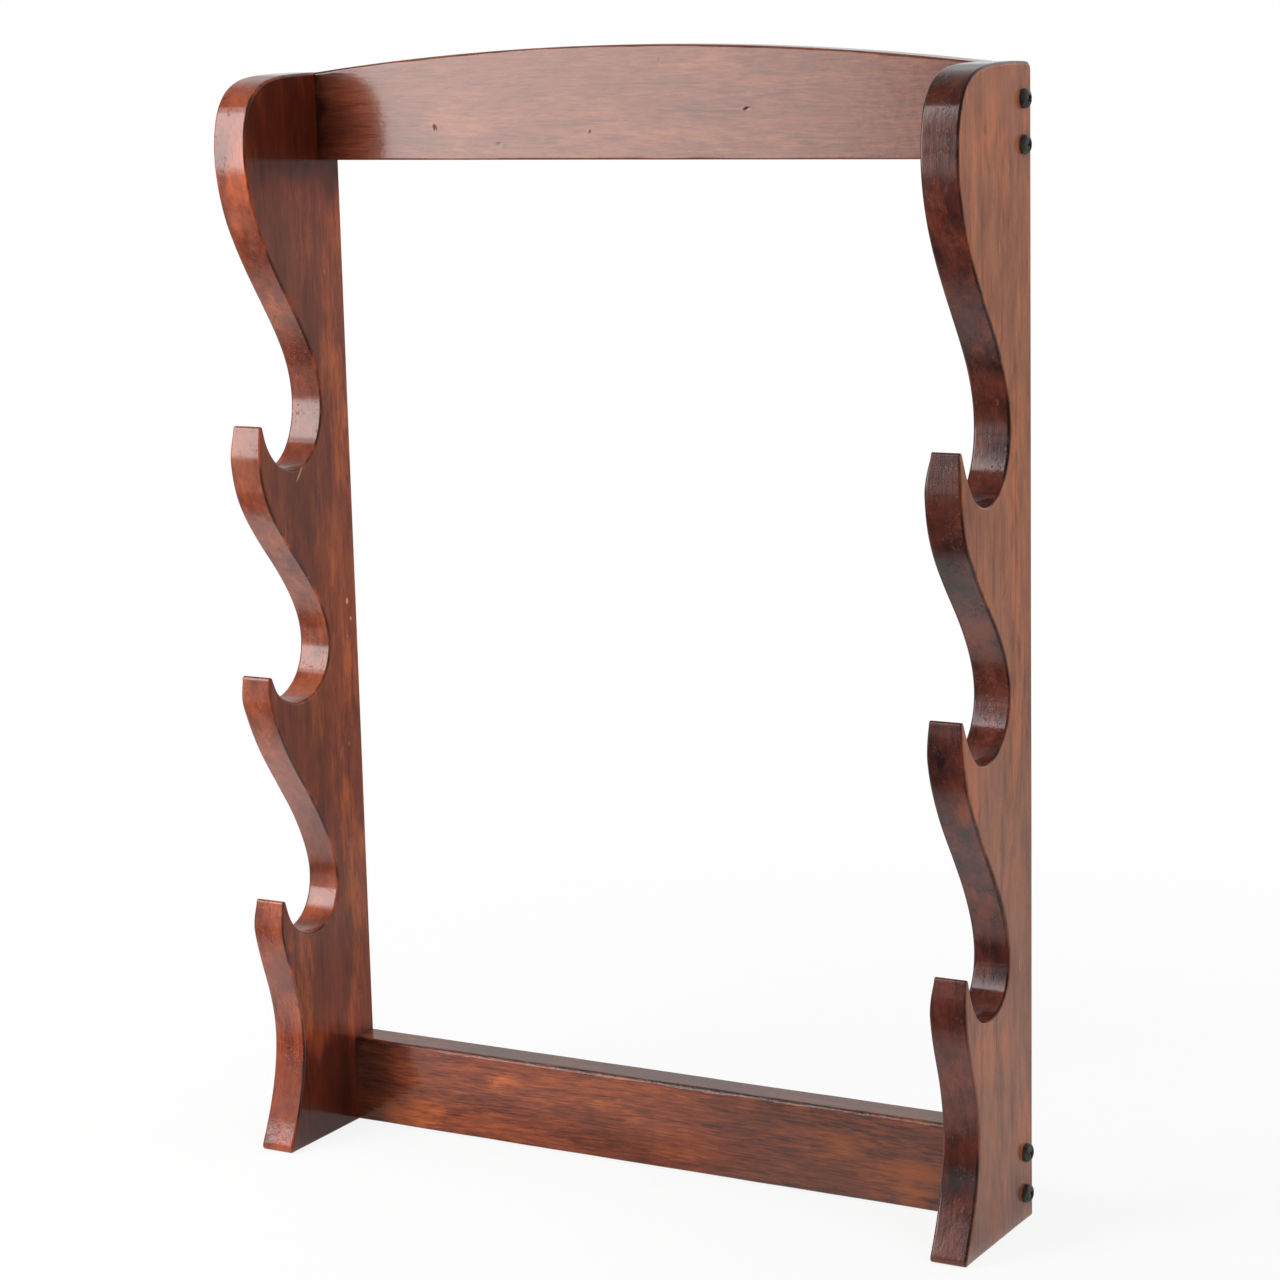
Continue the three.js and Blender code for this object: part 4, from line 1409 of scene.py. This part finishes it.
def add_floor():
    half, z = 9.0, -0.0004
    ob = stage_plane("floor", [(-half, -half, z), (half, -half, z), (half, half, z),
                               (-half, half, z)])
    material, net = new_material("floor_paper")
    place = net.node("ShaderNodeNewGeometry").outputs["Position"]
    ray = net.node("ShaderNodeLightPath").outputs
    paper = net.ramp(net.noise(place, scale=40, detail=3, rough=0.6), (0.3, 0.7),
                     ((0.90, 0.895, 0.885), (0.93, 0.925, 0.915)))
    diffuse = net.node("ShaderNodeBsdfDiffuse", {"Color": paper})
    # the camera sees it burn out to white away from the rack
    far = net.span(net.vector("LENGTH", place), start=0.20, end=1.0)
    white = net.times(net.scaled(far, scale=0.14, offset=0.86), ray["Is Camera Ray"])
    seen = net.mix_shader(white, diffuse, net.emission((1, 1, 1), 1.0))
    mirrored = net.emission((1, 0.98, 0.96), floor_reflection(net, place))
    net.surface(net.mix_shader(ray["Is Glossy Ray"], seen, mirrored))
    ob.data.materials.append(material)


def add_softbox(name, centre, width, height, strength, soft, tail=None):
    """An upright rectangle of light that faces +Y. Its U runs towards -X and V up; soft is the
    fade at low U, high U, low V and high V, and tail the (share, width) of a further slow fade
    from low U."""
    centre = Vector(centre)
    along, up = Vector((-1, 0, 0)), Vector((0, 0, 1))
    ob = stage_plane(name, [centre - along * width / 2 - up * height / 2,
                            centre + along * width / 2 - up * height / 2,
                            centre + along * width / 2 + up * height / 2,
                            centre - along * width / 2 + up * height / 2])
    layer = ob.data.uv_layers.new(name="uv")
    for i, corner in enumerate(((0, 0), (1, 0), (1, 1), (0, 1))):
        layer.data[i].uv = corner
    material, net = new_material(name)
    axes = net.split(net.coordinates("UV"))
    fade_u, fade_v = (
        net.times(net.span(axes[k], 0, soft[2 * k]), net.span(axes[k], 1, 1 - soft[2 * k + 1]))
        for k in (0, 1))
    fade = net.times(fade_u, fade_v)
    if tail:
        share, reach = tail
        fade = net.times(fade, net.span(axes[0], soft[0], soft[0] + reach, low=1.0 - share,
                                        high=1.0, kind="LINEAR"))
    back = net.node("ShaderNodeNewGeometry").outputs["Backfacing"]
    fade = net.times(fade, net.inverse(back))
    clear = net.node("ShaderNodeBsdfTransparent")
    net.surface(net.mix_shader(fade, clear, net.emission((1, 1, 1), strength)))
    ob.data.materials.append(material)
    ob.visible_camera = False
    ob.visible_shadow = False


def add_low_card():
    """A card on the floor at the front left, seen only in reflections."""
    left, right, y, top = -0.62, -0.30, -0.36, 0.19
    ob = stage_plane("low_card", [(left, y, 0.0), (right, y, 0.0), (right, y, top),
                                  (left, y, top)])
    material, net = new_material("low_card")
    net.surface(net.emission((1, 0.97, 0.94), 0.6))
    ob.data.materials.append(material)
    ob.visible_camera = ob.visible_diffuse = False
    ob.visible_shadow = ob.visible_transmission = False


def add_world():
    world = bpy.data.worlds.new("studio")
    scene.world = world
    world.use_nodes = True
    net = Nodes(world.node_tree, "ShaderNodeOutputWorld")
    axes = net.split(net.coordinates("Generated"))
    z = axes["Z"]
    ray = net.node("ShaderNodeLightPath").outputs
    # in reflections: bright behind, dim overhead and from the camera's side, a band at the horizon
    back = net.span(axes["Y"], start=-0.25, end=0.35)
    high = net.span(z, start=0.35, end=0.85)
    mirrored = net.times(back, net.inverse(net.times(high, 0.75)))
    mirrored = net.scaled(mirrored, scale=0.76, offset=0.12)
    low = net.span(z, start=0.05, end=0.55, low=0.34, high=1.0)
    band = net.times(net.span(z, start=0.22, end=0.08, low=0.0, high=0.55),
                     net.span(z, start=0.0, end=0.03))
    mirrored = net.plus(net.times(mirrored, low), band)
    # as light on surfaces: stronger from the right; to the camera: white
    fill_light = net.span(axes["X"], start=-0.1, end=0.9, low=0.52, high=1.02)
    level = net.scaled(ray["Is Glossy Ray"], net.minus(mirrored, fill_light), fill_light)
    level = net.scaled(ray["Is Camera Ray"], net.inverse(level), level)
    net.surface(net.node("ShaderNodeBackground", {0: (1, 1, 1, 1), 1: level}))


def add_camera():
    data = bpy.data.cameras.new("camera")
    data.sensor_width = 36.0
    data.lens = 95.23125
    data.shift_y = 0.03125
    data.clip_start, data.clip_end = 0.05, 60.0
    camera = bpy.data.objects.new("camera", data)
    scene.collection.objects.link(camera)
    right = Vector((0.8738760, 0.4855684, -0.0237474))
    up = Vector((-0.0727444, 0.1789035, 0.9811737))
    backward = Vector((0.4806755, -0.8556967, 0.1916619))
    turn = Matrix((right, up, backward)).transposed().to_4x4()
    place = (0.80525, -1.454596 + BACK_Y * MM, 0.57502)
    camera.matrix_world = Matrix.Translation(place) @ turn
    scene.camera = camera


build_rack()
add_floor()
add_world()
add_low_card()
add_softbox("key_softbox", centre=(-0.825, -1.0, 0.90), width=1.25, height=1.50, strength=6.75,
            soft=(0.18, 0.05, 0.12, 0.14), tail=(0.36, 0.42))
add_softbox("top_softbox", centre=(-1.42, -1.02, 1.80), width=0.80, height=0.80, strength=2.9,
            soft=(0.20, 0.06, 0.20, 0.20))
add_camera()
scene.view_settings.view_transform = "Standard"
scene.view_settings.look = "None"
